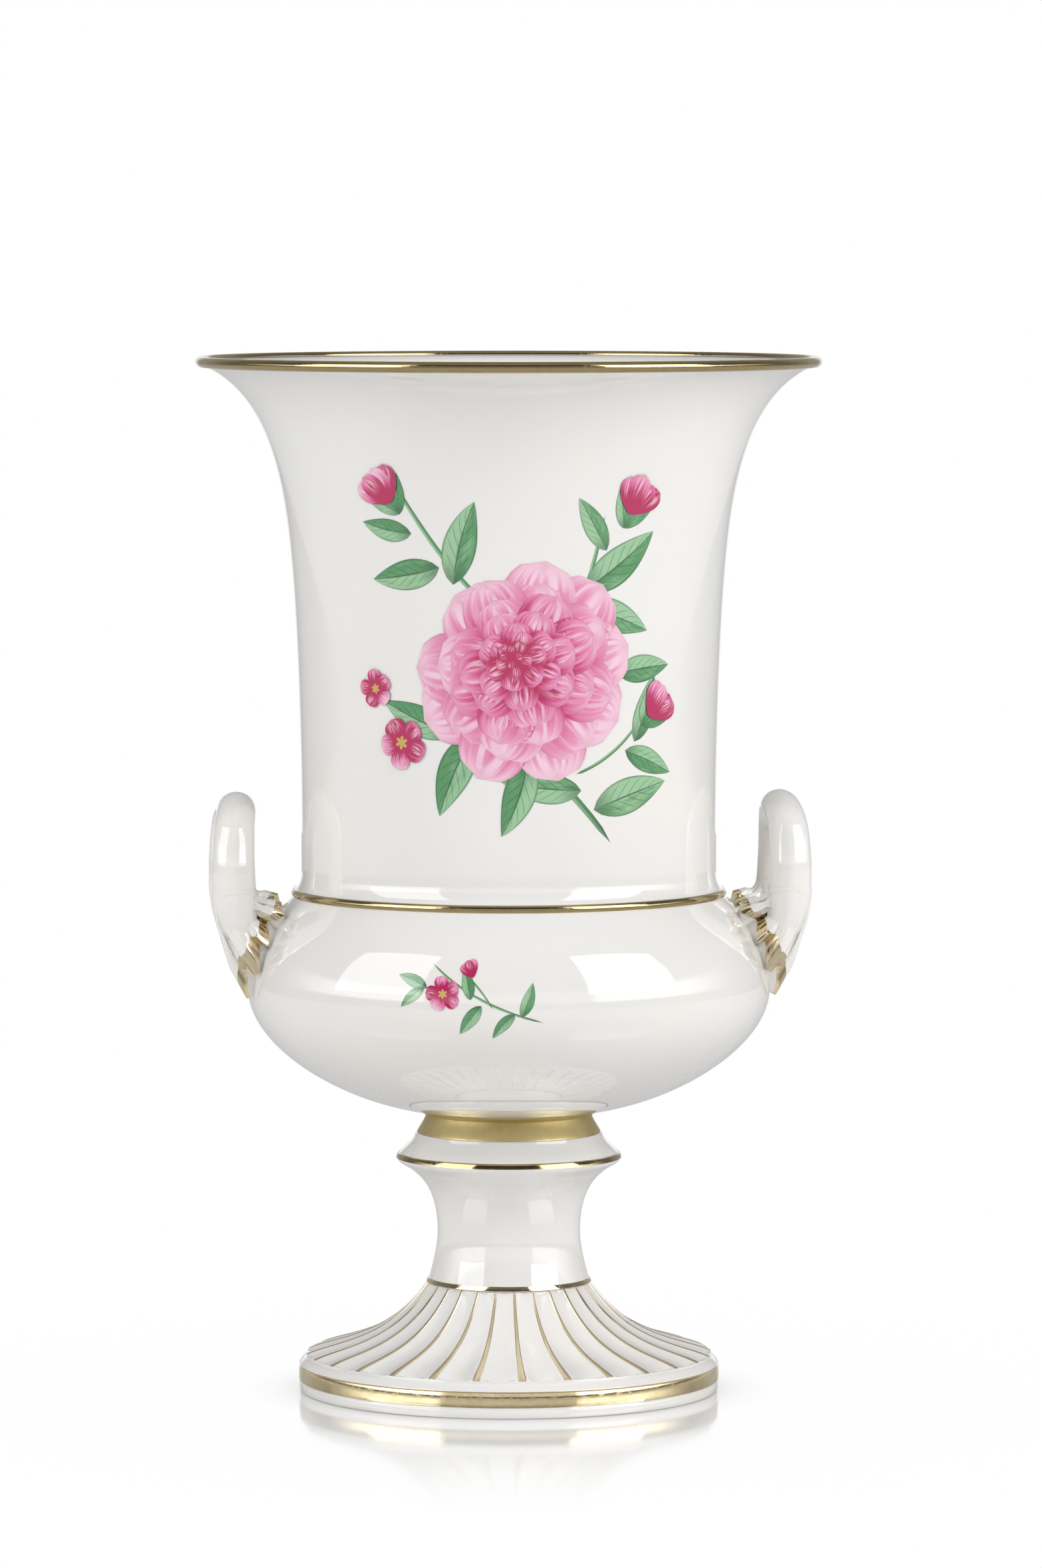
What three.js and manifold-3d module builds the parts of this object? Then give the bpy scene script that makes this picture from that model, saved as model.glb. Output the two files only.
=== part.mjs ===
// A two-handled krater vase of glazed porcelain with gilt mouldings, in millimetres, +Z up.
// The origin is the middle of the foot's underside. The front faces -Y, the handles stand at +X and -X.
// The body is a bowl with a flared neck luted on it. A ribbed foot and its stem carry the body,
// and one bolt through the bowl's floor and the stem's deck clamps the two together.
import * as THREE from 'three'
import { mergeVertices } from 'three/addons/utils/BufferGeometryUtils.js'
import Module from 'manifold-3d'

const wasm = await Module()
wasm.setup()

// Clearances
const seatGap = 0.3 // between curved faces that touch on the real vase
const boltGap = 1.5 // round the bolt in the porcelain

// Plinth and foot
const plinthRadius = 77
const plinthHeight = 10.2
const footRingWidth = 6.5 // the unglazed ring that the vase stands on
const bandBottom = 4.2 // gilt band round the plinth
const bandHeight = 5
const bandDepth = 1
const bandProud = 0.4 // how far the gilt band stands out of the plinth
const plinthEase = 0.5 // eased lower edge
const footBoreFlare = 2.3 // the bore widens under the stem
const footTop = 41
const footTopRadius = 29.5
const fluteEndRadius = 72.2
const fluteEndHeight = 15.4
const fluteCount = 28
const fluteDepthShare = 0.07 // depth of a flute as a share of its width
const ribRise = 0.5 // gilt ribs above the edges between the flutes
const ribWidthTop = 1
const ribWidthEnd = 3
const ribTopShare = 0.6 // width of a rib's top as a share of its base
const stemRingHeight = 1.1 // gilt ring that the ribs start from
const footWall = 6.5

// Stem and collar
const waistRadius = 26.55
const waistHeight = 58.2
const neckingRadius = 34.4 // where the stem meets the collar
const neckingHeight = 80.4
const collarRadius = 41.4
const collarHeight = 86.6
const collarLineHeight = 1.2
const collarLineDepth = 0.9
const collarLineProud = 0.25
const ankleBottom = 95.2 // gilt moulding between collar and bowl
const ankleBottomRadius = 33.6
const ankleDepth = 3.4 // the moulding's seat in the stem
const ankleStep = 0.6 // small step under the moulding
const stemWall = 6.2
const deckThickness = 8
const deckFillet = 3

// Bolted joint
const jointGasketThickness = 1
const jointGasketInset = 1
const boltRadius = 4
const boltTail = 2.5
const boltHeadHeight = 5.3
const nutHeight = 6.5
const nutAcross = 13
const washerRadius = 15
const washerThickness = 1.6
const padRadius = 16
const padThickness = 1.5

// Bowl
const bowlBottom = 101.9
const bowlPadRadius = 30.4
const bellyRadius = 95.8
const bellyHeight = 148.5
const shoulderRise = 34.1 // from the belly to the seat of the neck
const shoulderRadius = 79.8
const bowlWall = 5.5
const padFlare = 3.7 // from the pad's edge to the start of the bowl's curve
const padRise = 1.8
const bowlLipDepth = 3.4 // depth of the bowl's mouth under the neck

// Neck and lip
const beadHeight = 2.3
const beadInset = 0.4 // from the shoulder's radius
const beadDepth = 1.7
const neckFootInset = 0.5
const neckInset = 3.8
const neckWaistRise = 10.4 // from the seat to the narrowest point
const neckMidFlare = 4.2
const neckMidHeight = 310
const neckWall = 4.5
const lipRadius = 114.5
const height = 380
const lipRoll = 4
const lipWidth = 8.1

// Handles
const legSpacing = 43
const handleTop = 221.6
const handleReach = 110.8 // outermost face from the axis
const handleDepth = 14.6 // radial thickness of a leg
const handleWidth = 13 // tangential thickness of a leg
const legFootDrop = 15.6 // where a leg meets the bowl, below the seat
const legSwell = 0.06 // the legs widen towards the bowl by this share
const leafSheath = 22 // height of the leaf's start on the leg, above where the leg meets the bowl
const leafSkin = 0.9 // thickness of the leaf round the leg
const leafEdge = 2.6 // thickness of the leaf's margin on the bowl
const leafStandOut = 12.5 // how far the leaf stands out from the leg's foot
const leafRoot = 3 // how deep a leaf starts before the bowl trims it
const leafDropReach = 22.8
const leafSideReach = 17
const leafWeb = 8.6 // reach of the margin between the lobes

// Fineness of the facets
const bodySteps = 32
const stemSteps = 24
const stepsPerFlute = 2
const footSteps = fluteCount * stepsPerFlute
const loopStations = 21
const loopSides = 10
const leafSectors = 32
const leafRows = 5
const hardwareSides = 18
const porcelain = new THREE.MeshStandardMaterial({ color: '#e9e8e4', roughness: 0.12, metalness: 0 })
const gilt = new THREE.MeshStandardMaterial({ color: '#c3ab6a', roughness: 0.22, metalness: 1 })
const steel = new THREE.MeshStandardMaterial({ color: '#a9adb1', roughness: 0.35, metalness: 1 })
const felt = new THREE.MeshStandardMaterial({ color: '#7d4a3a', roughness: 0.95, metalness: 0 })

// Sizes that follow from the ones above
const ankleTopRadius = bowlPadRadius
const ankleCore = ankleTopRadius - ankleDepth
const seatHeight = bellyHeight + shoulderRise
const neckFoot = seatHeight + beadHeight
const beadRadius = shoulderRadius - beadInset
const neckFootRadius = shoulderRadius - neckFootInset
const neckRadius = shoulderRadius - neckInset
const neckWaistHeight = seatHeight + neckWaistRise
const neckMidRadius = neckRadius + neckMidFlare
const neckBore = neckRadius - neckWall
const lipSeat = height - lipRoll
const lipSeatInner = lipRadius - lipWidth
const legFootHeight = seatHeight - legFootDrop

const vase = new THREE.Group()

// Basic operations

// An indexed geometry from points and faces, turned so that its faces point out.
function closedGeometry(points, faces) {
  let volume = 0
  for (const [a, b, c] of faces) {
    volume += points[a].dot(new THREE.Vector3().crossVectors(points[b], points[c]))
  }
  const turned = volume < 0 ? faces.map(([a, b, c]) => [a, c, b]) : faces
  const geometry = new THREE.BufferGeometry()
  const coordinates = new Float32Array(points.flatMap((p) => [p.x, p.y, p.z]))
  geometry.setAttribute('position', new THREE.BufferAttribute(coordinates, 3))
  geometry.setIndex(turned.flat())
  geometry.computeVertexNormals()
  return geometry
}

// A surface that closes on itself both ways, such as a ring: pointAt(column, row).
function ringGeometry(columns, rows, pointAt) {
  const points = []
  const faces = []
  for (let i = 0; i < columns; i++) {
    for (let j = 0; j < rows; j++) points.push(pointAt(i, j))
  }
  const at = (i, j) => (i % columns) * rows + (j % rows)
  for (let i = 0; i < columns; i++) {
    for (let j = 0; j < rows; j++) {
      faces.push([at(i, j), at(i + 1, j), at(i + 1, j + 1)], [at(i, j), at(i + 1, j + 1), at(i, j + 1)])
    }
  }
  return closedGeometry(points, faces)
}

// A bar through its stations, closed at both ends: pointAt(station, side) and centreAt(station).
function barGeometry(stations, sides, pointAt, centreAt) {
  const points = []
  const faces = []
  for (let i = 0; i < stations; i++) {
    for (let j = 0; j < sides; j++) points.push(pointAt(i, j))
  }
  const at = (i, j) => i * sides + (j % sides)
  for (let i = 0; i < stations - 1; i++) {
    for (let j = 0; j < sides; j++) {
      faces.push([at(i, j), at(i + 1, j), at(i + 1, j + 1)], [at(i, j), at(i + 1, j + 1), at(i, j + 1)])
    }
  }
  const first = points.push(centreAt(0)) - 1
  const last = points.push(centreAt(stations - 1)) - 1
  for (let j = 0; j < sides; j++) {
    faces.push([first, at(0, j), at(0, j + 1)], [last, at(stations - 1, j + 1), at(stations - 1, j)])
  }
  return closedGeometry(points, faces)
}

// A closed profile of [radius, height] points turned about the axis.
function turned(profile, steps = bodySteps) {
  return ringGeometry(steps, profile.length, (i, j) => {
    const angle = (i / steps) * 2 * Math.PI
    const [radius, z] = profile[j]
    return new THREE.Vector3(radius * Math.cos(angle), radius * Math.sin(angle), z)
  })
}

// Points along a cubic curve, the first left out on request so that spans can be chained.
function curve(p0, p1, p2, p3, steps, skipFirst = false) {
  const line = new THREE.CubicBezierCurve(...[p0, p1, p2, p3].map((p) => new THREE.Vector2(...p)))
  return line.getPoints(steps).slice(skipFirst ? 1 : 0).map((p) => [p.x, p.y])
}

// The point that lies at a share of the way from one point to another, with a share for each coordinate.
function between(from, to, shares) {
  return from.map((start, i) => start + (to[i] - start) * (Array.isArray(shares) ? shares[i] : shares))
}

// A curve whose two handles lie at given shares of the way in radius and in height.
function bend(from, to, leave, arrive, steps, skipFirst = false) {
  return curve(from, between(from, to, leave), between(from, to, arrive), to, steps, skipFirst)
}

// A profile moved sideways by a distance, to the left of its direction of travel.
function offset(profile, distance) {
  return profile.map(([r, z], i) => {
    const before = profile[Math.max(i - 1, 0)]
    const after = profile[Math.min(i + 1, profile.length - 1)]
    const along = new THREE.Vector2(after[0] - before[0], after[1] - before[1]).normalize()
    return [r - along.y * distance, z + along.x * distance]
  })
}

function toSolid(geometry) {
  const bare = geometry.clone()
  bare.deleteAttribute('normal')
  bare.deleteAttribute('uv')
  const merged = mergeVertices(bare, 1e-4)
  return new wasm.Manifold(new wasm.Mesh({
    numProp: 3,
    vertProperties: new Float32Array(merged.attributes.position.array),
    triVerts: new Uint32Array(merged.index.array),
  }))
}

function toGeometry(solid) {
  const mesh = solid.getMesh()
  const geometry = new THREE.BufferGeometry()
  geometry.setAttribute('position', new THREE.BufferAttribute(new Float32Array(mesh.vertProperties), 3))
  geometry.setIndex([...mesh.triVerts])
  geometry.computeVertexNormals()
  return geometry
}

function add(name, geometry, material) {
  const mesh = new THREE.Mesh(geometry, material)
  mesh.name = name
  vase.add(mesh)
}

// Foot: a flared skirt with concave flutes, on a plinth with a groove for its gilt band

const footCrest = bend([footTopRadius, footTop], [fluteEndRadius, fluteEndHeight],
  [0.25, 0.56], [0.26, 0.61], 5)
const footEdge = offset(footCrest, -(ribRise + seatGap)) // the edges between the flutes
const bandTop = bandBottom + bandHeight
const ringSeat = footTopRadius - 0.9
const footBore = waistRadius - stemWall + footBoreFlare

function footProfile() {
  const rim = bend(footEdge.at(-1), [plinthRadius, plinthHeight], [0.42, 0.2], [1, 0.4], 2, true)
  const bandSeat = plinthRadius - bandDepth
  const ringInner = plinthRadius - footRingWidth
  const plinth = [[plinthRadius, bandTop], [bandSeat, bandTop], [bandSeat, bandBottom],
    [plinthRadius, bandBottom], [plinthRadius, plinthEase], [plinthRadius - plinthEase, 0], [ringInner, 0]]
  const inner = offset(footCrest, -footWall - ribRise)
    .filter(([r, z], i) => i % 2 === 1 && z < footTop - footWall && r < ringInner - footWall / 2)
  return {
    flutes: footEdge.slice(1),
    rest: [...rim, ...plinth, [ringInner - plinthEase, footRingWidth - 1], ...inner.reverse(),
      [footBore, footTop - footWall / 2], [footBore, footTop], [ringSeat - seatGap, footTop],
      [ringSeat - seatGap, footTop - stemRingHeight - seatGap]],
  }
}

function footGeometry() {
  const { flutes, rest } = footProfile()
  const profile = [...flutes, ...rest]
  return ringGeometry(footSteps, profile.length, (i, j) => {
    const angle = (i / footSteps) * 2 * Math.PI - Math.PI / 2
    let [radius, z] = profile[j]
    if (j < flutes.length) {
      const across = Math.sin(((i % stepsPerFlute) / stepsPerFlute) * Math.PI) ** 2
      const along = Math.sin(Math.PI * Math.min(1, (j + 1.2) / flutes.length)) ** 0.5
      const sink = ((2 * Math.PI * radius) / fluteCount) * fluteDepthShare * across * along
      const slope = footEdge[Math.min(j + 1, footEdge.length - 1)]
      const before = footEdge[j]
      const run = Math.hypot(slope[0] - before[0], slope[1] - before[1])
      radius += (sink * (slope[1] - before[1])) / run
      z -= (sink * (slope[0] - before[0])) / run
    }
    return new THREE.Vector3(radius * Math.cos(angle), radius * Math.sin(angle), z)
  })
}
add('foot', footGeometry(), porcelain)

// The gilt ribs along the edges between the flutes, all growing from one ring at the stem
function ribGeometry(angle) {
  const stations = footCrest.slice(1)
  const base = offset(footCrest, -ribRise).slice(1)
  const place = (r, z, side) => {
    const across = new THREE.Vector3(-Math.sin(angle), Math.cos(angle), 0).multiplyScalar(side)
    return new THREE.Vector3(r * Math.cos(angle), r * Math.sin(angle), z).add(across)
  }
  const section = (i) => {
    const share = i / (stations.length - 1)
    const half = (ribWidthTop + (ribWidthEnd - ribWidthTop) * share) / 2
    const top = i === 0 ? [stations[0][0] - 0.2, footTop - stemRingHeight / 2] : stations[i]
    const low = i === 0 ? [ringSeat + 0.2, footTop - stemRingHeight + 0.1] : base[i]
    return { half, top, low }
  }
  const pointAt = (i, j) => {
    const { half, top, low } = section(i)
    return [place(...low, -half), place(...top, -half * ribTopShare), place(...top, half * ribTopShare),
      place(...low, half)][j]
  }
  const centreAt = (i) => pointAt(i, 0).add(pointAt(i, 1)).add(pointAt(i, 2)).add(pointAt(i, 3))
    .multiplyScalar(0.25)
  return barGeometry(stations.length, 4, pointAt, centreAt)
}

function ribGilding() {
  const ringOuter = ringSeat + stemRingHeight + 0.4
  let gilding = toSolid(turned([[ringSeat, footTop - stemRingHeight], [ringOuter, footTop - stemRingHeight],
    [ringOuter + 0.25, footTop - stemRingHeight / 2], [ringOuter, footTop], [ringSeat, footTop]], footSteps))
  for (let i = 0; i < fluteCount; i++) {
    const angle = (i / fluteCount) * 2 * Math.PI - Math.PI / 2
    gilding = gilding.add(toSolid(ribGeometry(angle)))
  }
  return toGeometry(gilding)
}
add('rib_gilding', ribGilding(), gilt)

const bandSeatRadius = plinthRadius - bandDepth + seatGap
add('plinth_band', turned([[bandSeatRadius, bandBottom], [plinthRadius + bandProud / 2, bandBottom],
  [plinthRadius + bandProud, bandBottom + bandHeight / 2], [plinthRadius + bandProud / 2, bandTop],
  [bandSeatRadius, bandTop]], footSteps), gilt)

// Stem: a hollow waisted neck under a round collar, with a deck that the bolt clamps

const stemTop = bowlBottom - jointGasketThickness
const holeRadius = boltRadius + boltGap
const boreRadius = waistRadius - stemWall
const lineTop = collarHeight + collarLineHeight / 2
const lineBottom = collarHeight - collarLineHeight / 2
const lineSeat = collarRadius - collarLineDepth

function stemProfile() {
  const waist = [waistRadius, waistHeight]
  const necking = [neckingRadius, neckingHeight]
  const lower = bend([footTopRadius - seatGap, footTop], waist, [0.25, 0.37], [1, 0.65], 3)
  const upper = bend(waist, necking, [0, 0.29], [0.14, 0.75], 4, true)
  const underside = bend(necking, [collarRadius, lineBottom], [0.38, 0.5], [0.93, 0.57], 3, true)
  const topside = bend([collarRadius, lineTop], [ankleBottomRadius + ankleStep, ankleBottom],
    [0.27, 0.5], [0.89, 0.55], 3)
  const deckBottom = stemTop - deckThickness
  return [...lower, ...upper, ...underside, [lineSeat, lineBottom], [lineSeat, lineTop], ...topside,
    [ankleCore, ankleBottom], [ankleCore, stemTop], [holeRadius, stemTop], [holeRadius, deckBottom],
    [boreRadius - deckFillet / 3, deckBottom], [boreRadius, deckBottom - deckFillet],
    [boreRadius, waistHeight], [footBore, footTop]]
}
add('stem', turned(stemProfile(), stemSteps), porcelain)

add('collar_line', turned([[lineSeat + seatGap, lineBottom], [collarRadius, lineBottom],
  [collarRadius + collarLineProud, collarHeight], [collarRadius, lineTop],
  [lineSeat + seatGap, lineTop]], stemSteps), gilt)

add('ankle_moulding', turned([[ankleCore + seatGap, ankleBottom],
  ...bend([ankleBottomRadius, ankleBottom], [ankleTopRadius, stemTop], [0.13, 0.42], [0.87, 0.54], 3),
  [ankleCore + seatGap, stemTop]], stemSteps), gilt)

// Bowl: a deep rounded shell with a flat pad below and a flat seat for the neck

const belly = [bellyRadius, bellyHeight]
const bowlOuter = [
  ...bend([bowlPadRadius + padFlare, bowlBottom + padRise], belly, [0.47, 0.09], [1, 0.54], 7),
  ...bend(belly, [shoulderRadius, seatHeight - seatGap], [0, 0.52], [0.66, 0.81], 5, true)]

function bowlProfile() {
  const inner = offset(bowlOuter, bowlWall).filter((_, i) => i % 2 === 0)
  const floor = inner[0][1]
  return [[bowlPadRadius, bowlBottom], ...bowlOuter, [shoulderRadius - seatGap, seatHeight],
    [neckBore, seatHeight], [neckBore, seatHeight - bowlLipDepth], ...inner.reverse(),
    [holeRadius, floor], [holeRadius, bowlBottom]]
}
add('bowl', turned(bowlProfile()), porcelain)
const bowlFloor = offset(bowlOuter, bowlWall)[0][1]

add('joint_gasket', turned([[holeRadius, stemTop], [ankleTopRadius - jointGasketInset, stemTop],
  [ankleTopRadius - jointGasketInset, bowlBottom], [holeRadius, bowlBottom]], stemSteps), felt)

// Neck: a tall calyx that sits on the bowl and flares to the lip

const neckWaist = [neckRadius, neckWaistHeight]
const neckMid = [neckMidRadius, neckMidHeight]
const rollRadius = lipRoll / 2
const neckOuter = [
  ...bend([neckFootRadius, neckFoot], neckWaist, [0.58, 0.1], [1, 0.37], 3),
  ...bend(neckWaist, neckMid, [0, 0.27], [0.21, 0.72], 3, true),
  ...bend(neckMid, [lipRadius - rollRadius * 1.3, lipSeat], [0.06, 0.3], [0.21, 0.86], 9, true)]

function neckProfile() {
  const beadSeat = beadRadius - beadDepth - seatGap
  const wall = offset(neckOuter, neckWall)
    .filter(([r, z], i) => i % 2 === 1 && z > neckWaistHeight + seatGap && r < lipSeatInner - lipRoll / 2)
  return [[beadSeat, seatHeight], [beadSeat, neckFoot], ...neckOuter, [lipSeatInner, lipSeat],
    ...wall.reverse(), [neckBore, neckWaistHeight], [neckBore, seatHeight]]
}
add('neck', turned(neckProfile()), porcelain)

const beadInner = beadRadius - beadDepth
const beadEdge = beadRadius - beadInset
add('shoulder_bead', turned([[beadInner, seatHeight], [beadEdge, seatHeight],
  [beadRadius, seatHeight + beadHeight / 2], [beadEdge, neckFoot], [beadInner, neckFoot]]), gilt)

const rollCentre = new THREE.Vector2(lipRadius - rollRadius, lipSeat + rollRadius)
function lipProfile() {
  const round = []
  for (let i = 0; i <= 4; i++) {
    const angle = -Math.PI / 2 + (i / 4) * Math.PI
    round.push([rollCentre.x + rollRadius * Math.cos(angle), rollCentre.y + rollRadius * Math.sin(angle)])
  }
  const inner = lipSeatInner + 2 * seatGap
  return [[inner, lipSeat], ...round, [inner + rollRadius, height - 2 * seatGap],
    [inner, height - rollRadius * 1.2]]
}
add('lip_roll', turned(lipProfile()), gilt)

// Handles: an upright loop on each side, its two legs ending in an acanthus leaf on the shoulder

// The outer face of the bowl, grown outwards by a distance
function bowlFace(grow) {
  return offset(bowlOuter, -grow)
}

function bowlBlank(grow) {
  const face = bowlFace(grow)
  return toSolid(turned([[1, bowlBottom - grow], [face[0][0], bowlBottom - grow], ...face,
    [face.at(-1)[0], seatHeight + grow], [1, seatHeight + grow]]))
}

// The bowl's face as a path that can be walked by its length
const meridian = new THREE.CurvePath()
const leafFace = bowlFace(seatGap)
for (let i = 1; i < leafFace.length; i++) {
  meridian.add(new THREE.LineCurve(new THREE.Vector2(...leafFace[i - 1]), new THREE.Vector2(...leafFace[i])))
}
const meridianLength = meridian.getLength()
function meridianAt(share) {
  return meridian.getPoint(THREE.MathUtils.clamp(share, 0, 1))
}
let home = 0
while (home < 1 && meridianAt(home).y < legFootHeight) home += 0.002

const halfSpacing = legSpacing / 2
const legFoot = Math.sqrt(meridianAt(home).x ** 2 - halfSpacing ** 2) // where a leg meets the bowl
const legCentre = handleReach - handleDepth / 2
const loopTop = handleTop - handleDepth / 2

// One leg from inside the bowl to the crown: x and z as shares of the way from the leg's foot to the top
const legPath = [
  { across: -0.46, up: -0.12, aside: 1 },
  { across: 0.42, up: 0, aside: 1 },
  { across: 0.86, up: 0.21, aside: 1 },
  { across: 1, up: 0.55, aside: 1 },
  { across: 0.88, up: 0.85, aside: 0.74 },
].map(({ across, up, aside }) => {
  const [x, z] = between([legFoot, legFootHeight], [legCentre, loopTop], [across, up])
  return new THREE.Vector3(x, -halfSpacing * aside, z)
})
const crown = new THREE.Vector3(...between([legFoot, 0, loopTop], [legCentre, 0, loopTop], 0.75))
const otherLeg = [...legPath].reverse().map((p) => new THREE.Vector3(p.x, -p.y, p.z))
const loopPath = new THREE.CatmullRomCurve3([...legPath, crown, ...otherLeg])

// A point on the skin of the loop: t runs from foot to foot, and angle 0 faces away from the axis.
function loopPoint(t, angle, grow) {
  const along = loopPath.getTangent(t)
  const outward = new THREE.Vector3(1, 0, 0)
  outward.addScaledVector(along, -outward.dot(along)).normalize()
  const sideways = new THREE.Vector3().crossVectors(along, outward)
  const swell = 1 + legSwell * Math.max(0, 2.2 * Math.abs(2 * t - 1) - 1.2)
  return loopPath.getPoint(t)
    .addScaledVector(outward, ((handleDepth / 2) * swell + grow) * Math.cos(angle))
    .addScaledVector(sideways, ((handleWidth / 2) * swell + grow) * Math.sin(angle))
}

function loopGeometry(grow) {
  const share = (i) => i / (loopStations - 1)
  return barGeometry(loopStations, loopSides,
    (i, j) => loopPoint(share(i), (j / loopSides) * 2 * Math.PI, grow), (i) => loopPath.getPoint(share(i)))
}

// Acanthus lobes round the foot of a leg: direction in degrees (-90 is down the bowl), reach and half width
const sideLobes = [
  { towards: -45, reach: leafSideReach, half: 27 },
  { towards: 0, reach: leafSideReach * 0.72, half: 22 },
  { towards: 34, reach: leafSideReach * 0.66, half: 18 },
  { towards: 68, reach: leafSideReach * 0.76, half: 20 },
]
const lobes = [{ towards: -90, reach: leafDropReach, half: 25 }, ...sideLobes,
  ...sideLobes.map((lobe) => ({ ...lobe, towards: 180 - lobe.towards }))]
function leafReach(direction) {
  return Math.max(leafWeb, ...lobes.map(({ towards, reach, half }) => {
    const turn = Math.abs(((direction - towards + 540) % 360) - 180)
    return leafWeb + (reach - leafWeb) * Math.max(0, 1 - turn / half) ** 0.75
  }))
}

// A leaf as a sheath that leaves the leg in a ring and spreads on the bowl into its lobed margin.
// It starts inside the bowl's wall and round the leg, and the bowl and the loop trim it.
function leafGeometry(side) {
  const azimuth = side * Math.asin(halfSpacing / meridianAt(home).x)
  const onBowl = (distance, direction, rise) => {
    const share = home + (distance * Math.sin(direction)) / meridianLength
    const spot = meridianAt(share)
    const along = meridianAt(share + 0.01).sub(meridianAt(share - 0.01)).normalize()
    const radius = spot.x + along.y * rise
    const angle = azimuth + (distance * Math.cos(direction)) / spot.x
    return new THREE.Vector3(radius * Math.cos(angle), radius * Math.sin(angle), spot.y - along.x * rise)
  }
  let start = 0
  while (start < 0.4 && loopPath.getPoint(start).z < legFootHeight + leafSheath) start += 0.002
  const legTurn = side < 0 ? start : 1 - start
  const sheathPoint = (row, direction) => {
    const margin = onBowl(leafReach((direction * 180) / Math.PI), direction, leafEdge)
    const onLeg = loopPoint(legTurn, -side * (direction + Math.PI / 2), leafSkin)
    const span = onLeg.distanceTo(margin)
    const fullness = (leafStandOut * (1 - Math.sin(direction))) / 2
    return new THREE.CubicBezierCurve3(onLeg, onLeg.clone().add(new THREE.Vector3(0, 0, -0.42 * span)),
      margin.clone().add(new THREE.Vector3(fullness, 0, 0.3 * span)), margin).getPoint(row / (leafRows - 1))
  }
  return barGeometry(leafRows + 1, leafSectors, (i, j) => {
    const direction = (j / leafSectors) * 2 * Math.PI - Math.PI / 2
    if (i < leafRows) return sheathPoint(i, direction)
    return onBowl(leafReach((direction * 180) / Math.PI), direction, -leafRoot)
  }, (i) => (i === 0 ? loopPath.getPoint(legTurn) : onBowl(0, 0, -leafRoot)))
}

const clearOfBowl = bowlBlank(seatGap)
const loopBlank = toSolid(loopGeometry(seatGap))
const loop = toGeometry(toSolid(loopGeometry(0)).subtract(clearOfBowl))
const leafPair = [-1, 1].map((side) => toGeometry(
  toSolid(leafGeometry(side)).subtract(clearOfBowl).subtract(loopBlank)))
for (const [name, turn] of [['right', 0], ['left', Math.PI]]) {
  add(`handle_${name}`, loop.clone().rotateZ(turn), porcelain)
  const [front, back] = turn === 0 ? leafPair : [...leafPair].reverse()
  add(`leaf_${name}_front`, front.clone().rotateZ(turn), gilt)
  add(`leaf_${name}_back`, back.clone().rotateZ(turn), gilt)
}

// Bolt, washers and pads

function disc(bottom, radius, thickness, bore) {
  const top = bottom + thickness
  return turned([[bore, bottom], [radius, bottom], [radius, top], [bore, top]], hardwareSides)
}

const upperWasher = bowlFloor + padThickness
const boltHead = upperWasher + washerThickness
const lowerPad = stemTop - deckThickness - padThickness
const lowerWasher = lowerPad - washerThickness
const nutBottom = lowerWasher - nutHeight
const boltEnd = nutBottom - boltTail
const bore = boltRadius + seatGap
add('upper_pad', disc(bowlFloor, padRadius, padThickness, bore), felt)
add('upper_washer', disc(upperWasher, washerRadius, washerThickness, bore), steel)
add('lower_pad', disc(lowerPad, padRadius, padThickness, bore), felt)
add('lower_washer', disc(lowerWasher, washerRadius, washerThickness, bore), steel)

function hexagon(bottom, tall) {
  const prism = new THREE.CylinderGeometry(nutAcross / Math.sqrt(3), nutAcross / Math.sqrt(3), tall, 6)
  return toSolid(prism.rotateX(Math.PI / 2).translate(0, 0, bottom + tall / 2))
}

function boltSolid() {
  const shank = new THREE.CylinderGeometry(boltRadius, boltRadius, boltHead + 1 - boltEnd, hardwareSides)
  return hexagon(boltHead, boltHeadHeight)
    .add(toSolid(shank.rotateX(Math.PI / 2).translate(0, 0, (boltHead + 1 + boltEnd) / 2)))
}
add('bolt', toGeometry(boltSolid()), steel)
const nutBore = new THREE.CylinderGeometry(bore, bore, nutHeight + 2, hardwareSides)
const nutHole = toSolid(nutBore.rotateX(Math.PI / 2).translate(0, 0, nutBottom + nutHeight / 2))
add('nut', toGeometry(hexagon(nutBottom, nutHeight).subtract(nutHole)), steel)

export default vase
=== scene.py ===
import math

import bpy
import numpy as np
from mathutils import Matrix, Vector


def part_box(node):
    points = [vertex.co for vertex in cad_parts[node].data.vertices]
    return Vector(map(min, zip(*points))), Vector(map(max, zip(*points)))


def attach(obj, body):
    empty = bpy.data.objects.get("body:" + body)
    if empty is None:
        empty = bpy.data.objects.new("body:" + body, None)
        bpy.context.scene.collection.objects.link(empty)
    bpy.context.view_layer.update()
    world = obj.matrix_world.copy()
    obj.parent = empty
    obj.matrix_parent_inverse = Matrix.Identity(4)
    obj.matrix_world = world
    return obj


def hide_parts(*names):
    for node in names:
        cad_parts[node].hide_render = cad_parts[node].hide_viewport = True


# A two-handled krater vase in glazed porcelain with burnished gilding.
# Lengths in the dictionaries are in millimetres, the meshes are in metres.

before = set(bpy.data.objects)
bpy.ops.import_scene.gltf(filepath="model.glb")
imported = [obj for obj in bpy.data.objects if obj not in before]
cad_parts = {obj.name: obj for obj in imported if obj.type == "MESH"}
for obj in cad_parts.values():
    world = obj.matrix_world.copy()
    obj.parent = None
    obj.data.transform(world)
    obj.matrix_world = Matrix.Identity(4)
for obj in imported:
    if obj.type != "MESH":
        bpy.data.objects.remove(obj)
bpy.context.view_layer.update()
mm = 0.001


def top(node):
    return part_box(node)[1].z / mm


def foot(node):
    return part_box(node)[0].z / mm


def reach(node):
    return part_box(node)[1].x / mm


# Node trees

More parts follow.
